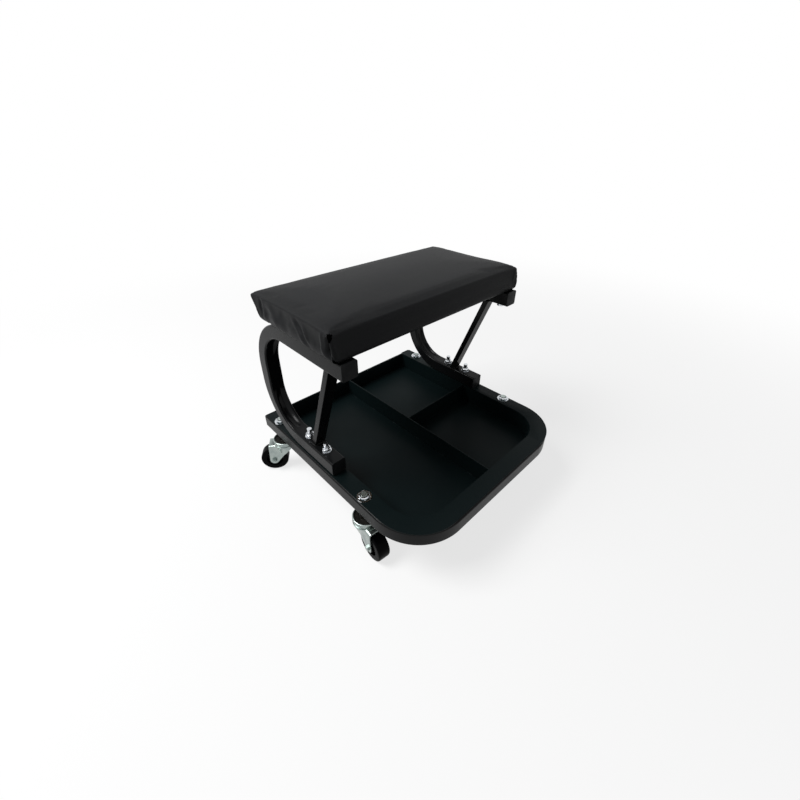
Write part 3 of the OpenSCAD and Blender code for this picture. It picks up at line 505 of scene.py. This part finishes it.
def threads(name, shanks, nuts, radius, pitch):
    tops = [(low + high) / 2 for low, high in islands(nuts)]
    nut_top = max(high.z for low, high in islands(nuts))
    end = max(high.z for low, high in islands(shanks))
    base = points_mesh(name, [(c.x, c.y, nut_top - pitch * MM) for c in tops])
    values = dict(THREAD, Radius=radius * MM, Length=end - nut_top + 0.4 * pitch * MM, Pitch=pitch * MM)
    piece = build(name, thread_tree, values, base, "chassis", angle=20)
    return piece


bolt_threads = threads("frame_bolt_threads", "frame_bolts", "frame_nuts", 4, 1.25)
stem_threads = threads("caster_stem_threads", "caster_stems", "caster_nuts", 5, 1.5)
print("threads have", len(bolt_threads.data.polygons), "and", len(stem_threads.data.polygons), "faces")

# %% [markdown]
# ### Locking nuts
# The nuts on the frame bolts and stems are nylon-insert nuts: a hexagon for the
# lower two thirds, then a turned collar that is rolled in over a black ring.
# They take the place of the plain CAD hexagons and keep their width and their
# top; their foot lies 6% of the height above the plain nut's. Blender sets a
# cylinder on its middle and a cone on its base, so a lift is to the middle of the
# one and to the base of the other.

# %% Nut tree
NUT = {"Width": 13 * MM, "Height": 8 * MM, "Bore": 4 * MM, "Steel": bright_zinc, "Nylon": insert_black}
nut_tree, size = socket_tree("locking_nut", NUT)
CYLINDER, CONE = "GeometryNodeMeshCylinder", "GeometryNodeMeshCone"
HEXAGON_CORNER = 0.5774


def nut_form(kind, radii, height, lift, sides=64):
    """A closed form of the nut, sized and lifted by shares of its width and height."""
    shares = {name: ("Width", share) for name, share in radii.items()}
    shares.update({"Depth": ("Height", height), "Lift": ("Height", lift)})
    sized = {name: calc(nut_tree, "MULTIPLY", size[side], share) for name, (side, share) in shares.items()}
    offset = add(nut_tree, "ShaderNodeCombineXYZ", {"Z": sized.pop("Lift")})
    form = add(nut_tree, kind, {"Vertices": sides, "Side Segments": 1, **sized}, fill_type="NGON")
    return add(nut_tree, "GeometryNodeTransform", {"Geometry": form.outputs[0],
               "Translation": offset.outputs[0]}).outputs[0]


hexagon = nut_form(CYLINDER, {"Radius": HEXAGON_CORNER}, 0.62, 0.31, sides=6)
blank = nut_form(CONE, {"Radius Top": 0.5, "Radius Bottom": 0.86}, 0.62, 0.06)
chamfered = add(nut_tree, "GeometryNodeMeshBoolean", {"Mesh 2": hexagon}, operation="INTERSECT")
nut_tree.links.new(blank, chamfered.inputs["Mesh 2"])
collar = nut_form(CONE, {"Radius Top": 0.4, "Radius Bottom": 0.46}, 0.4, 0.6)
ring_hole = nut_form(CYLINDER, {"Radius": 0.36}, 0.2, 1.0)
cup = add(nut_tree, "GeometryNodeMeshBoolean", {"Mesh 1": collar, "Mesh 2": ring_hole}, operation="DIFFERENCE")
steel = add(nut_tree, "GeometryNodeJoinGeometry", {"Geometry": chamfered.outputs[0]})
nut_tree.links.new(cup.outputs[0], steel.inputs[0])
steel = add(nut_tree, "GeometryNodeSetMaterial", {"Geometry": steel.outputs[0], "Material": size["Steel"]})
nylon = nut_form(CONE, {"Radius Top": 0.33, "Radius Bottom": 0.36}, 0.07, 0.93)
nylon = add(nut_tree, "GeometryNodeSetMaterial", {"Geometry": nylon, "Material": size["Nylon"]})
whole = add(nut_tree, "GeometryNodeJoinGeometry", {"Geometry": steel.outputs[0]})
nut_tree.links.new(nylon.outputs[0], whole.inputs[0])
end_on_points(nut_tree, size["Geometry"], whole.outputs[0])


def locking_nuts(name, node):
    found = islands(node)
    base = points_mesh(name, [((low.x + high.x) / 2, (low.y + high.y) / 2, low.z) for low, high in found])
    width = min(min(high.x - low.x, high.y - low.y) for low, high in found)
    height = found[0][1].z - found[0][0].z
    piece = build(name, nut_tree, dict(NUT, Width=width, Height=height), base, "chassis", angle=30)
    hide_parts(node)
    print(name, "width", round(width * 1000, 1), "height", round(height * 1000, 1), "mm")


locking_nuts("frame_locking_nuts", "frame_nuts")
locking_nuts("caster_locking_nuts", "caster_nuts")

# %% [markdown]
# ### Welds
# The struts are welded to the rails all round, and the long divider is tacked
# to the tray every few centimetres. All of it lies under the paint, so the beads
# take the colour of the part that they stand on. The tree follows any edges
# that it is given, and sizes each drop a little differently.

# %% Weld tree
WELD = {"Drop Radius": 1.7 * MM, "Step": 1.3 * MM, "Flatness": 0.7, "Seed": 11, "Paint": frame_black}
weld_tree, size = socket_tree("weld_bead", WELD)
line = add(weld_tree, "GeometryNodeMeshToCurve", {0: size["Geometry"]})
spots = add(weld_tree, "GeometryNodeCurveToPoints", {"Curve": line.outputs[0], "Length": size["Step"]}, mode="LENGTH")
drop = add(weld_tree, "GeometryNodeMeshIcoSphere", {"Radius": size["Drop Radius"], "Subdivisions": 2})
grow = add(weld_tree, "FunctionNodeRandomValue", {2: 0.82, 3: 1.12, "Seed": size["Seed"]}, data_type="FLOAT")
flat = calc(weld_tree, "MULTIPLY", grow.outputs[1], size["Flatness"])
shape_of = add(weld_tree, "ShaderNodeCombineXYZ", {"X": grow.outputs[1], "Y": grow.outputs[1], "Z": flat})
end_on_points(weld_tree, spots.outputs[0], drop.outputs[0], size["Paint"], Scale=shape_of.outputs[0])


AT_LEVEL = 0.5 * MM


def foot_edges(node, z_side, margin):
    """The points round the lower or upper end of a strut, in order."""
    mesh = nodes[node].data
    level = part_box(node)[z_side].z
    near = [v.co for v in mesh.vertices if abs(v.co.z - level) < AT_LEVEL]
    x0, x1 = min(c.x for c in near), max(c.x for c in near)
    y0, y1 = min(c.y for c in near), max(c.y for c in near)
    m = margin * MM
    return [(x0 - m, y0 - m, level), (x1 + m, y0 - m, level), (x1 + m, y1 + m, level), (x0 - m, y1 + m, level)]


def weld(name, loops, values):
    points, edges = [], []
    for loop, closed in loops:
        first = len(points)
        points += loop
        edges += [(first + i, first + i + 1) for i in range(len(loop) - 1)]
        if closed:
            edges.append((len(points) - 1, first))
    piece = build(name, weld_tree, dict(WELD, **values), points_mesh(name, points, edges), "chassis", angle=60)


strut_loops = [(foot_edges(node, z_side, 0.2), True) for node in ("left_strut", "right_strut") for z_side in (0, 1)]
weld("strut_welds", strut_loops, {})

tray_loops = []
low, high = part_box("long_divider")
floor_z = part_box("cross_divider")[0].z
FIRST_TACK, TACK_STEP, TACK_LENGTH = 0.08, 0.168, 9 * MM
for i in range(6):
    y = low.y + (high.y - low.y) * (FIRST_TACK + TACK_STEP * i)
    for x in (low.x, high.x):
        tray_loops.append(([(x, y, floor_z), (x, y + TACK_LENGTH, floor_z)], False))
weld("tray_welds", tray_loops, {"Drop Radius": 1.1 * MM, "Step": 1.0 * MM, "Paint": tray_black})
print("welds laid along", len(strut_loops), "strut ends and", len(tray_loops), "tacks")

# %% [markdown]
# ### Staples in the hem
# The hem is stapled to the board about every 22 mm. Each staple is a wire 1 mm
# thick and 10 mm long, sunk a little into the vinyl. They run along the two long
# sides, where the underside is open to view, between the rails.

# %% Staple tree
STAPLE = {"Crown": 10 * MM, "Wire": 0.5 * MM, "Step": 22 * MM, "Seed": 5, "Steel": bright_zinc}
staple_tree, size = socket_tree("staple_row", STAPLE)
line = add(staple_tree, "GeometryNodeMeshToCurve", {0: size["Geometry"]})
spots = add(staple_tree, "GeometryNodeCurveToPoints", {"Curve": line.outputs[0], "Length": size["Step"]}, mode="LENGTH")
half = calc(staple_tree, "MULTIPLY", size["Crown"], 0.5)
start = add(staple_tree, "ShaderNodeCombineXYZ", {"X": calc(staple_tree, "MULTIPLY", half, -1.0)})
end = add(staple_tree, "ShaderNodeCombineXYZ", {"X": half})
wire = add(staple_tree, "GeometryNodeCurvePrimitiveLine", {"Start": start.outputs[0], "End": end.outputs[0]})
wire = add(staple_tree, "GeometryNodeResampleCurve", {"Curve": wire.outputs[0], "Count": 9})
along = add(staple_tree, "GeometryNodeSplineParameter")
from_middle = calc(staple_tree, "SUBTRACT", along.outputs["Factor"], 0.5)
bend = calc(staple_tree, "MULTIPLY", calc(staple_tree, "POWER", from_middle, 6.0), 0.12)
sink = add(staple_tree, "ShaderNodeCombineXYZ", {"Z": bend})
bent = add(staple_tree, "GeometryNodeSetPosition", {"Geometry": wire.outputs[0], "Offset": sink.outputs[0]})
section = add(staple_tree, "GeometryNodeCurvePrimitiveCircle", {"Resolution": 8, "Radius": size["Wire"]})
crown = add(staple_tree, "GeometryNodeCurveToMesh", {"Curve": bent.outputs[0], "Profile Curve": section.outputs[0],
            "Fill Caps": True})
tilt = add(staple_tree, "FunctionNodeRandomValue", {2: -0.2, 3: 0.2, "Seed": size["Seed"]}, data_type="FLOAT")
turn = add(staple_tree, "ShaderNodeCombineXYZ", {"Z": tilt.outputs[1]})
end_on_points(staple_tree, spots.outputs[0], crown.outputs[0], size["Steel"], Rotation=turn.outputs[0])

hem_low, hem_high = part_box("seat_board")
ROW_END, ROW_IN = 40 * MM, 14 * MM
row_x, row_z = hem_high.x - ROW_END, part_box("seat_cover")[0].z - 0.1 * MM
row_points = [(x, y, row_z) for y in (hem_low.y + ROW_IN, hem_high.y - ROW_IN) for x in (-row_x, row_x)]
rows = points_mesh("hem_staples", row_points, [(0, 1), (2, 3)])
staples = build("hem_staples", staple_tree, STAPLE, rows, "chassis", angle=40)
print("staples have", len(staples.data.polygons), "faces")

# %% [markdown]
# ## The seat cushion
# The seat is a foam slab on a board, with one sheet of vinyl pulled over it and
# stapled underneath. The pull rounds the long edges, draws the ends in towards
# the board, and leaves pointed corners with a gathered fold in each. A plain
# rounded block would miss all of that. So the cover starts as rings of points
# that already hold the slab's outline, is remeshed to even squares, and is then
# blown up a little as cloth with its underside held, which gives the skin its
# natural tension. The folds are pressed in afterwards, because a remesh would
# remove them.

# %% The rings that the cover starts from
SEAT_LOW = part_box("seat_cover")[0]
BOARD_LOW, BOARD_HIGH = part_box("seat_board")
seat_mid = Vector(((BOARD_LOW.x + BOARD_HIGH.x) / 2, (BOARD_LOW.y + BOARD_HIGH.y) / 2))
BOARD_GAP = 1.5 * MM
UNDER_X = BOARD_HIGH.x + BOARD_GAP
UNDER_Y = (BOARD_HIGH.y - BOARD_LOW.y) / 2 + BOARD_GAP
UNDER_Z = SEAT_LOW.z
BULGE, LEAN, EDGE_H, CROWN_H = 7 * MM, 10 * MM, 42.5 * MM, 4 * MM
CORNER_R, ROUND_R, CORNER_DROP, CORNER_OUT = 5 * MM, 12 * MM, 3.5 * MM, 4 * MM


def ring(inset, height, radius, drop, count=480):
    """One loop round the seat, at equal steps, with its corners lowered and drawn out to points."""
    a, b = UNDER_X + BULGE - inset, UNDER_Y + BULGE - inset
    radius = max(min(radius, b * 0.98), 0.5 * MM)
    lean = LEAN * (height / EDGE_H) ** 2
    corners = [(1, 1, 0), (-1, 1, 90), (-1, -1, 180), (1, -1, 270)]
    path = []
    for sx, sy, start in corners:
        for k in range(9):
            t = math.radians(start + 90 * k / 8)
            path.append((sx * (a - radius) + radius * math.cos(t), sy * (b - radius) + radius * math.sin(t)))
    path.append(path[0])
    path = np.array(path)
    lengths = np.concatenate([[0], np.cumsum(np.linalg.norm(np.diff(path, axis=0), axis=1))])
    steps = np.linspace(0, lengths[-1], count, endpoint=False)
    xs, ys = np.interp(steps, lengths, path[:, 0]), np.interp(steps, lengths, path[:, 1])
    droop = (np.abs(xs) / (UNDER_X + BULGE) * np.abs(ys) / (UNDER_Y + BULGE)) ** 5
    zs = UNDER_Z + height - CORNER_DROP * drop * droop
    point = CORNER_OUT * droop ** 2 * (0.7 + 0.3 * drop)
    xs, ys = xs + np.sign(xs) * point, ys + np.sign(ys) * point
    return [Vector((x + seat_mid.x, y + seat_mid.y + lean, z)) for x, y, z in zip(xs, ys, zs)]


def closed_skin(rings, name):
    """A closed mesh from rings of equal count, each end shut with a fan."""
    mesh = bpy.data.meshes.new(name)
    count = len(rings[0])
    points = [p for loop in rings for p in loop]
    low = sum(rings[0], Vector()) / count
    high = sum(rings[-1], Vector()) / count
    faces = []
    for j in range(len(rings) - 1):
        for i in range(count):
            k = (i + 1) % count
            faces.append((j * count + i, j * count + k, (j + 1) * count + k, (j + 1) * count + i))
    points += [low, high]
    top = (len(rings) - 1) * count
    faces += [(len(points) - 2, (i + 1) % count, i) for i in range(count)]
    faces += [(len(points) - 1, top + i, top + (i + 1) % count) for i in range(count)]
    mesh.from_pydata(points, [], faces)
    keep_normals_outward(mesh)
    return mesh


SHRINK = 0.8 * MM
# each ring of the wall: share of the bulge still to come, share of the height, share of the corner radius
WALL = [(0.75, 0.0, 1), (0.4, 0.05, 0.95), (0.26, 0.14, 0.9), (0.15, 0.3, 0.82), (0.07, 0.5, 0.75),
        (0.02, 0.7, 0.66), (0, 0.88, 0.6)]
loops = [ring(BULGE * s + SHRINK, EDGE_H * h, CORNER_R * r, h) for s, h, r in WALL]
rise = EDGE_H * 0.12
for s in (0.22, 0.5, 0.78, 1):
    quarter = math.radians(90 * s)
    height = EDGE_H - rise * (1 - math.sin(quarter)) - SHRINK * math.sin(quarter)
    loops.append(ring(ROUND_R * (1 - math.cos(quarter)) + SHRINK, height, CORNER_R * (0.6 + 0.4 * s), 1))
reach = UNDER_Y + BULGE - ROUND_R
for s in (0.12, 0.25, 0.4, 0.58, 0.78, 0.94):
    loops.append(ring(ROUND_R + reach * s, EDGE_H + CROWN_H * math.sin(math.radians(90 * s)) - SHRINK, CORNER_R, 1))
cover_start = closed_skin(loops, "seat_cover_start")
print("cover starts from", len(loops), "rings,", len(cover_start.polygons), "faces")

# %% [markdown]
# ## Remesh, then inflate
# Voxel remeshing turns the rings into even squares of 4 mm, which cloth needs.
# The cloth has a light inner pressure and no gravity. Its underside is pinned,
# because there the vinyl is stapled flat to the board. No point may move more
# than 1.2 mm from where it started, so the seat keeps its size.

# %% Inflate the cover as cloth
VOXEL, HELD_BAND, CLOTH_STEPS, CLOTH_MOST = 4 * MM, 5 * MM, 20, 1.2 * MM


def points_of(mesh, kind="co"):
    """The places of a mesh's points, or their normals, as rows of an array."""
    flat = np.empty(len(mesh.vertices) * 3)
    mesh.vertices.foreach_get(kind, flat)
    return flat.reshape(-1, 3)


cover = as_object(cover_start, "seat_cushion_cover")
remesh = cover.modifiers.new("even squares", "REMESH")
remesh.mode = "VOXEL"
remesh.voxel_size = VOXEL
cover.data = applied(cover)
keep_normals_outward(cover.data)
before = points_of(cover.data)
print("cover has", len(before), "points")

held = cover.vertex_groups.new(name="held")
held.add([i for i, p in enumerate(before) if p[2] < UNDER_Z + HELD_BAND], 1.0, "REPLACE")
cloth = cover.modifiers.new("cloth", "CLOTH")
cloth.settings.use_pressure = True
cloth.settings.uniform_pressure_force = 4
cloth.settings.effector_weights.gravity = 0
cloth.settings.vertex_group_mass = "held"
cloth.settings.tension_stiffness = cloth.settings.compression_stiffness = 25
cloth.settings.bending_stiffness = 2
cloth.settings.quality = 6
for step in range(1, CLOTH_STEPS + 1):
    bpy.context.scene.frame_set(step)
move = points_of(applied(cover)) - before
far = np.linalg.norm(move, axis=1)
move *= (np.minimum(far, CLOTH_MOST) / np.maximum(far, 1e-9))[:, None]
cover.data.vertices.foreach_set("co", (before + move).ravel())
bpy.context.scene.frame_set(1)
print("cloth wanted to move by", round(float(far.max()) * 1000, 1), "mm at most,",
      round(float(far.mean()) * 1000, 1), "mm on average")

# %% [markdown]
# ## Bring the corners back
# The voxels and the cloth both blunt the points and the sharp lower edge. So the
# mesh is divided once more, to squares of 2 mm, each point goes back to the
# nearest spot of the skin that the rings made, and the swelling that the cloth
# found there is added to it.

# %% Sharpen the blown-up cover
BLEND = 0.2 * MM
swell = points_of(cover.data) - before
tree = KDTree(len(before))
for i, p in enumerate(before):
    tree.insert(p, i)
tree.balance()
skin = BVHTree.FromPolygons([v.co[:] for v in cover_start.vertices], [f.vertices[:] for f in cover_start.polygons])
cover.data.vertices.foreach_set("co", before.ravel())
finer = cover.modifiers.new("finer squares", "SUBSURF")
finer.levels = finer.render_levels = 1
cover.data = applied(cover)
sharp = []
for v in cover.data.vertices:
    spot = skin.find_nearest(v.co)[0]
    near = tree.find_n(v.co, 4)
    weights = [1 / (d + BLEND) for _, _, d in near]
    lift = sum((swell[i] * w for (_, i, _), w in zip(near, weights)), np.zeros(3)) / sum(weights)
    sharp.append(np.array(spot) + lift)
cover.data.vertices.foreach_set("co", np.array(sharp).ravel())
cover.data.update()
print("sharpened", len(sharp), "points")

# %% [markdown]
# ## Fold and crease the vinyl
# Each fold is a line on the cover with a width and a height. Points near it are pushed along their normals: out for a
# ridge, in for a valley. At the front left corner the end sheet is tucked under the front sheet, which leaves a narrow
# dark slot from the corner's tip down to the board. The mesh gives it only a groove, so the faces along it take the
# near-black vinyl as well: painted shade for the slot's depth.

# %% Press the folds in
def nearest_on(path, points):
    """Distance of each point to a polyline, and how far along it the nearest spot lies."""
    best = np.full(len(points), 1e9)
    along = np.zeros(len(points))
    total = sum(np.linalg.norm(path[i + 1] - path[i]) for i in range(len(path) - 1))
    done = 0.0
    for i in range(len(path) - 1):
        a, b = path[i], path[i + 1]
        span = np.linalg.norm(b - a)
        t = np.clip((points - a) @ (b - a) / span ** 2, 0, 1)
        d = np.linalg.norm(points - (a + t[:, None] * (b - a)), axis=1)
        better = d < best
        best[better] = d[better]
        along[better] = (done + t[better] * span) / total
        done += span
    return best, along


def on_skin(path_mm):
    """The path in metres, each point moved to the nearest spot of the skin."""
    return np.array([skin.find_nearest(Vector(p) * MM)[0] for p in path_mm])


def press(mesh, path_mm, width_mm, height_mm, fade=0.25):
    """Raise or sink the skin along a path given in millimetres."""
    points, normals = points_of(mesh), points_of(mesh, "normal")
    distance, along = nearest_on(on_skin(path_mm), points)
    ends = np.clip(np.minimum(along, 1 - along) / fade, 0, 1)
    ends = ends * ends * (3 - 2 * ends)
    amount = height_mm * MM * np.exp(-(distance / (width_mm * MM)) ** 2) * ends
    mesh.vertices.foreach_set("co", (points + normals * amount[:, None]).ravel())
    mesh.update()


LEFT, RIGHT, FRONT = -193, 193, -55
FOLDS = [
    # the long front edge is drawn down more than the others
    ([(LEFT + 2, FRONT + 5, 371), (RIGHT - 2, FRONT + 5, 371)], 9, -2.0),
    # each end is drawn in under its upper edge and swells again above the rail
    ([(LEFT, 110, 361), (LEFT, 60, 363), (LEFT, 0, 363), (LEFT, -34, 361)], 9, -1.3),
    ([(LEFT, 104, 337), (LEFT, 60, 338), (LEFT, 0, 337), (LEFT, -40, 336)], 8, 1.2),
    ([(RIGHT, 110, 361), (RIGHT, 60, 363), (RIGHT, 0, 363), (RIGHT, -34, 361)], 9, -1.3),
    ([(RIGHT, 104, 337), (RIGHT, 60, 338), (RIGHT, 0, 337), (RIGHT, -40, 336)], 8, 1.2),
    # the left end: two long folds that run down and forward, and soft ones behind
    ([(LEFT, 36, 364), (LEFT, 25, 357), (LEFT, 13, 349), (LEFT, 3, 338), (LEFT, -9, 329)], 3.2, 1.5),
    ([(LEFT, 26, 364), (LEFT, 14, 355), (LEFT, 4, 346), (LEFT, -18, 329)], 4, -1.7),
    ([(LEFT, 8, 360), (LEFT, -4, 349), (LEFT, -12, 338)], 2.6, 1.5),
    ([(LEFT, 118, 359), (LEFT, 89, 357), (LEFT, 72, 342), (LEFT, 66, 329)], 6, 1.2),
    ([(LEFT, 108, 362), (LEFT, 98, 350), (LEFT, 92, 331)], 8, -1.3),
    ([(LEFT, 62, 362), (LEFT, 48, 350), (LEFT, 40, 330)], 9, -1.2),
    # the front left corner: the end sheet stops in a ridge, with a slot before it
    ([(LEFT, -40, 368), (LEFT, -38, 356), (LEFT, -39, 344), (LEFT, -46, 328)], 2.6, 1.8),
    ([(LEFT, -52, 367), (LEFT, -50, 356), (LEFT, -50, 344), (LEFT, -56, 329)], 3, -6),
    # the front right corner: a facet from the tip down to the board
    ([(RIGHT, FRONT - 4, 369), (RIGHT - 7, FRONT, 352), (RIGHT - 15, FRONT + 4, 332)], 2.6, 1.0),
    ([(RIGHT + 2, FRONT, 366), (RIGHT - 1, FRONT + 2, 350), (RIGHT - 6, FRONT + 6, 332)], 3.4, -2.2),
    # the right end has the same kind of folds
    ([(RIGHT, 40, 362), (RIGHT, 20, 348), (RIGHT, 2, 329)], 3.4, 1.5),
    ([(RIGHT, 30, 362), (RIGHT, 10, 348), (RIGHT, -6, 329)], 4, -1.6),
    ([(RIGHT, -20, 362), (RIGHT, -34, 346), (RIGHT, -40, 330)], 3.4, 1.2),
    ([(RIGHT, 92, 360), (RIGHT, 76, 345), (RIGHT, 70, 329)], 4, 1.3),
    # the rear corners: one valley each
    ([(LEFT, 112, 366), (LEFT + 1, 116, 350), (LEFT + 3, 112, 330)], 3, -2.4),
    ([(RIGHT, 112, 366), (RIGHT - 1, 116, 350), (RIGHT - 3, 112, 330)], 3, -2.4),
]
# the path and half-width of the painted shade inside the front left corner slot
SLOT_SHADE_PATH = [(LEFT, -54, 366), (LEFT, -53, 362), (LEFT, -53, 346), (LEFT, -59, 329)]
SLOT_SHADE_HALF_WIDTH = 4.6 * MM
painted_slot_shade_mask = nearest_on(on_skin(SLOT_SHADE_PATH), points_of(cover.data))[0] < SLOT_SHADE_HALF_WIDTH
for path, width, height in FOLDS:
    press(cover.data, path, width, height)
print("pressed", len(FOLDS), "folds;", int(painted_slot_shade_mask.sum()), "points in the corner slot")

# %% [markdown]
# ## Close the seat underneath
# Below, the vinyl ends in a hem about 28 mm wide and the board shows inside it.
# The middle of the cover's underside is therefore lifted out of sight, into the
# board, and the rim of what is left becomes the hem's edge.

# %% Hem and finish
HEM_MM = 28
FLAT_BAND, LIFTED_BAND, LIFT = 1.2 * MM, 6 * MM, 5 * MM


def lift_underside(mesh, hem_mm):
    points = points_of(mesh)
    inside = ((np.abs(points[:, 0] - seat_mid.x) < UNDER_X - hem_mm * MM)
              & (np.abs(points[:, 1] - seat_mid.y) < UNDER_Y - hem_mm * MM)
              & (points[:, 2] < UNDER_Z + LIFTED_BAND))
    points[points[:, 2] < UNDER_Z + FLAT_BAND, 2] = UNDER_Z
    points[inside, 2] = UNDER_Z + LIFT
    mesh.vertices.foreach_set("co", points.ravel())
    mesh.update()
    return int(inside.sum())


lifted = lift_underside(cover.data, HEM_MM)
cover.data.shade_smooth()
cover.data.materials.clear()
cover.data.materials.append(vinyl)
cover.data.materials.append(painted_slot_shade_vinyl)
# painted shade: the faces inside the corner slot take the near-black vinyl
for face in cover.data.polygons:
    face.material_index = 1 if all(painted_slot_shade_mask[i] for i in face.vertices) else 0
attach(cover, "chassis")
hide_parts("seat_cover")
print("lifted", lifted, "points inside the hem")

# %% [markdown]
# ## The foam inside
# The foam fills the cover above the board, so it has the cover's own form a few
# millimetres further in. It could stay the plain CAD slab, but then its corners
# would poke through the folds. So the folded cover is copied, drawn in along its
# normals, and cut flat where it lies on the board.

# %% Foam slab from the cover's form
FOAM_GAP_MM = 3


def foam_from(mesh, gap_mm, bottom_z):
    shape = bmesh.new()
    shape.from_mesh(mesh)
    shape.normal_update()
    for v in shape.verts:
        v.co -= v.normal * gap_mm * MM
    geometry = shape.verts[:] + shape.edges[:] + shape.faces[:]
    cut = bmesh.ops.bisect_plane(shape, geom=geometry, plane_co=(0, 0, bottom_z), plane_no=(0, 0, -1), clear_outer=True)
    rim = [g for g in cut["geom_cut"] if isinstance(g, bmesh.types.BMEdge)]
    bmesh.ops.triangle_fill(shape, edges=rim, use_beauty=True)
    bmesh.ops.recalc_face_normals(shape, faces=shape.faces)
    slab = bpy.data.meshes.new("seat_foam_slab")
    shape.to_mesh(slab)
    shape.free()
    return slab


foam_slab = as_object(foam_from(cover.data, FOAM_GAP_MM, BOARD_HIGH.z), "seat_foam_slab")
foam_slab.data.shade_smooth()
foam_slab.data.set_sharp_from_angle(angle=math.radians(50))
foam_slab.data.materials.clear()
foam_slab.data.materials.append(foam)
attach(foam_slab, "chassis")
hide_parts("seat_foam")
print("foam slab has", len(foam_slab.data.polygons), "faces")

# %% [markdown]
# ## Floor and light
# The floor is a plain pale sheet that keeps the object's shadow, and is clear
# from below, so that the casters can be looked at from there. The light is a
# wide soft box above and to the left, with a pale sky for the rest, so the top
# and the left sides are lit and the front stays dark, as in the photograph.

# %% Stage
def stage_sheet(name, size, material, place):
    mesh = bpy.data.meshes.new(name)
    s = size / 2
    mesh.from_pydata([(-s, -s, 0), (s, -s, 0), (s, s, 0), (-s, s, 0)], [], [(0, 1, 2, 3)])
    mesh.materials.append(material)
    sheet = as_object(mesh, name)
    sheet.location = place


paper = bpy.data.materials.new("matt_white_paper")
paper.use_nodes = True
tree = paper.node_tree
tree.nodes.clear()
path = add(tree, "ShaderNodeLightPath")
seen = calc(tree, "MAXIMUM", path.outputs["Is Camera Ray"], path.outputs["Is Glossy Ray"])
place = add(tree, "ShaderNodeTexCoord").outputs["Object"]
away = add(tree, "ShaderNodeVectorMath", {0: place}, operation="LENGTH")
FADE_START, FADE_END, SHADOW_SHARE = 0.4, 1.8, 0.25
near = spread(tree, away.outputs["Value"], FADE_START, FADE_END, SHADOW_SHARE, 0.0, "SMOOTHSTEP")
matt = add(tree, "ShaderNodeBsdfDiffuse", {"Color": (1, 1, 1, 1)})
glow = add(tree, "ShaderNodeEmission", {"Color": (1, 1, 1, 1), "Strength": 1.0})
white_floor = add(tree, "ShaderNodeMixShader", {0: near, 1: glow.outputs[0], 2: matt.outputs[0]})
grey_floor = add(tree, "ShaderNodeBsdfDiffuse", {"Color": linear("#707070")})
top_side = add(tree, "ShaderNodeMixShader", {0: seen, 1: grey_floor.outputs[0], 2: white_floor.outputs[0]})
underside = add(tree, "ShaderNodeNewGeometry").outputs["Backfacing"]
clear = add(tree, "ShaderNodeBsdfTransparent")
finish(tree, add(tree, "ShaderNodeMixShader", {0: underside, 1: top_side.outputs[0], 2: clear.outputs[0]}))
stage_sheet("floor", 30, paper, (0, 0, 0))

world = bpy.data.worlds.new("pale_studio")
bpy.context.scene.world = world
world.use_nodes = True
tree = world.node_tree
tree.nodes.clear()
path = add(tree, "ShaderNodeLightPath")
seen = calc(tree, "MAXIMUM", path.outputs["Is Camera Ray"], path.outputs["Is Glossy Ray"])
seen = calc(tree, "MAXIMUM", seen, path.outputs["Is Transmission Ray"])
sky = add(tree, "ShaderNodeBackground", {"Color": linear("#f2f4f6"), "Strength": 0.14})
white = add(tree, "ShaderNodeBackground", {"Color": (1, 1, 1, 1), "Strength": 1.0})
mixed = add(tree, "ShaderNodeMixShader", {0: seen, 1: sky.outputs[0], 2: white.outputs[0]})
add(tree, "ShaderNodeOutputWorld", {"Surface": mixed.outputs[0]})


def soft_box(name, place, size, power):
    lamp = bpy.data.lights.new(name, "AREA")
    lamp.shape = "SQUARE"
    lamp.size = size
    lamp.energy = power
    box = as_object(lamp, name)
    box.location = place
    box.rotation_euler = (LAMP_TARGET - Vector(place)).to_track_quat("-Z", "Y").to_euler()


LAMP_TARGET = Vector((0, 0, 0.15))
soft_box("key_light", (-1.25, 0.75, 2.0), 1.1, 55)
bpy.context.scene.view_settings.view_transform = "Standard"
print("stage ready")
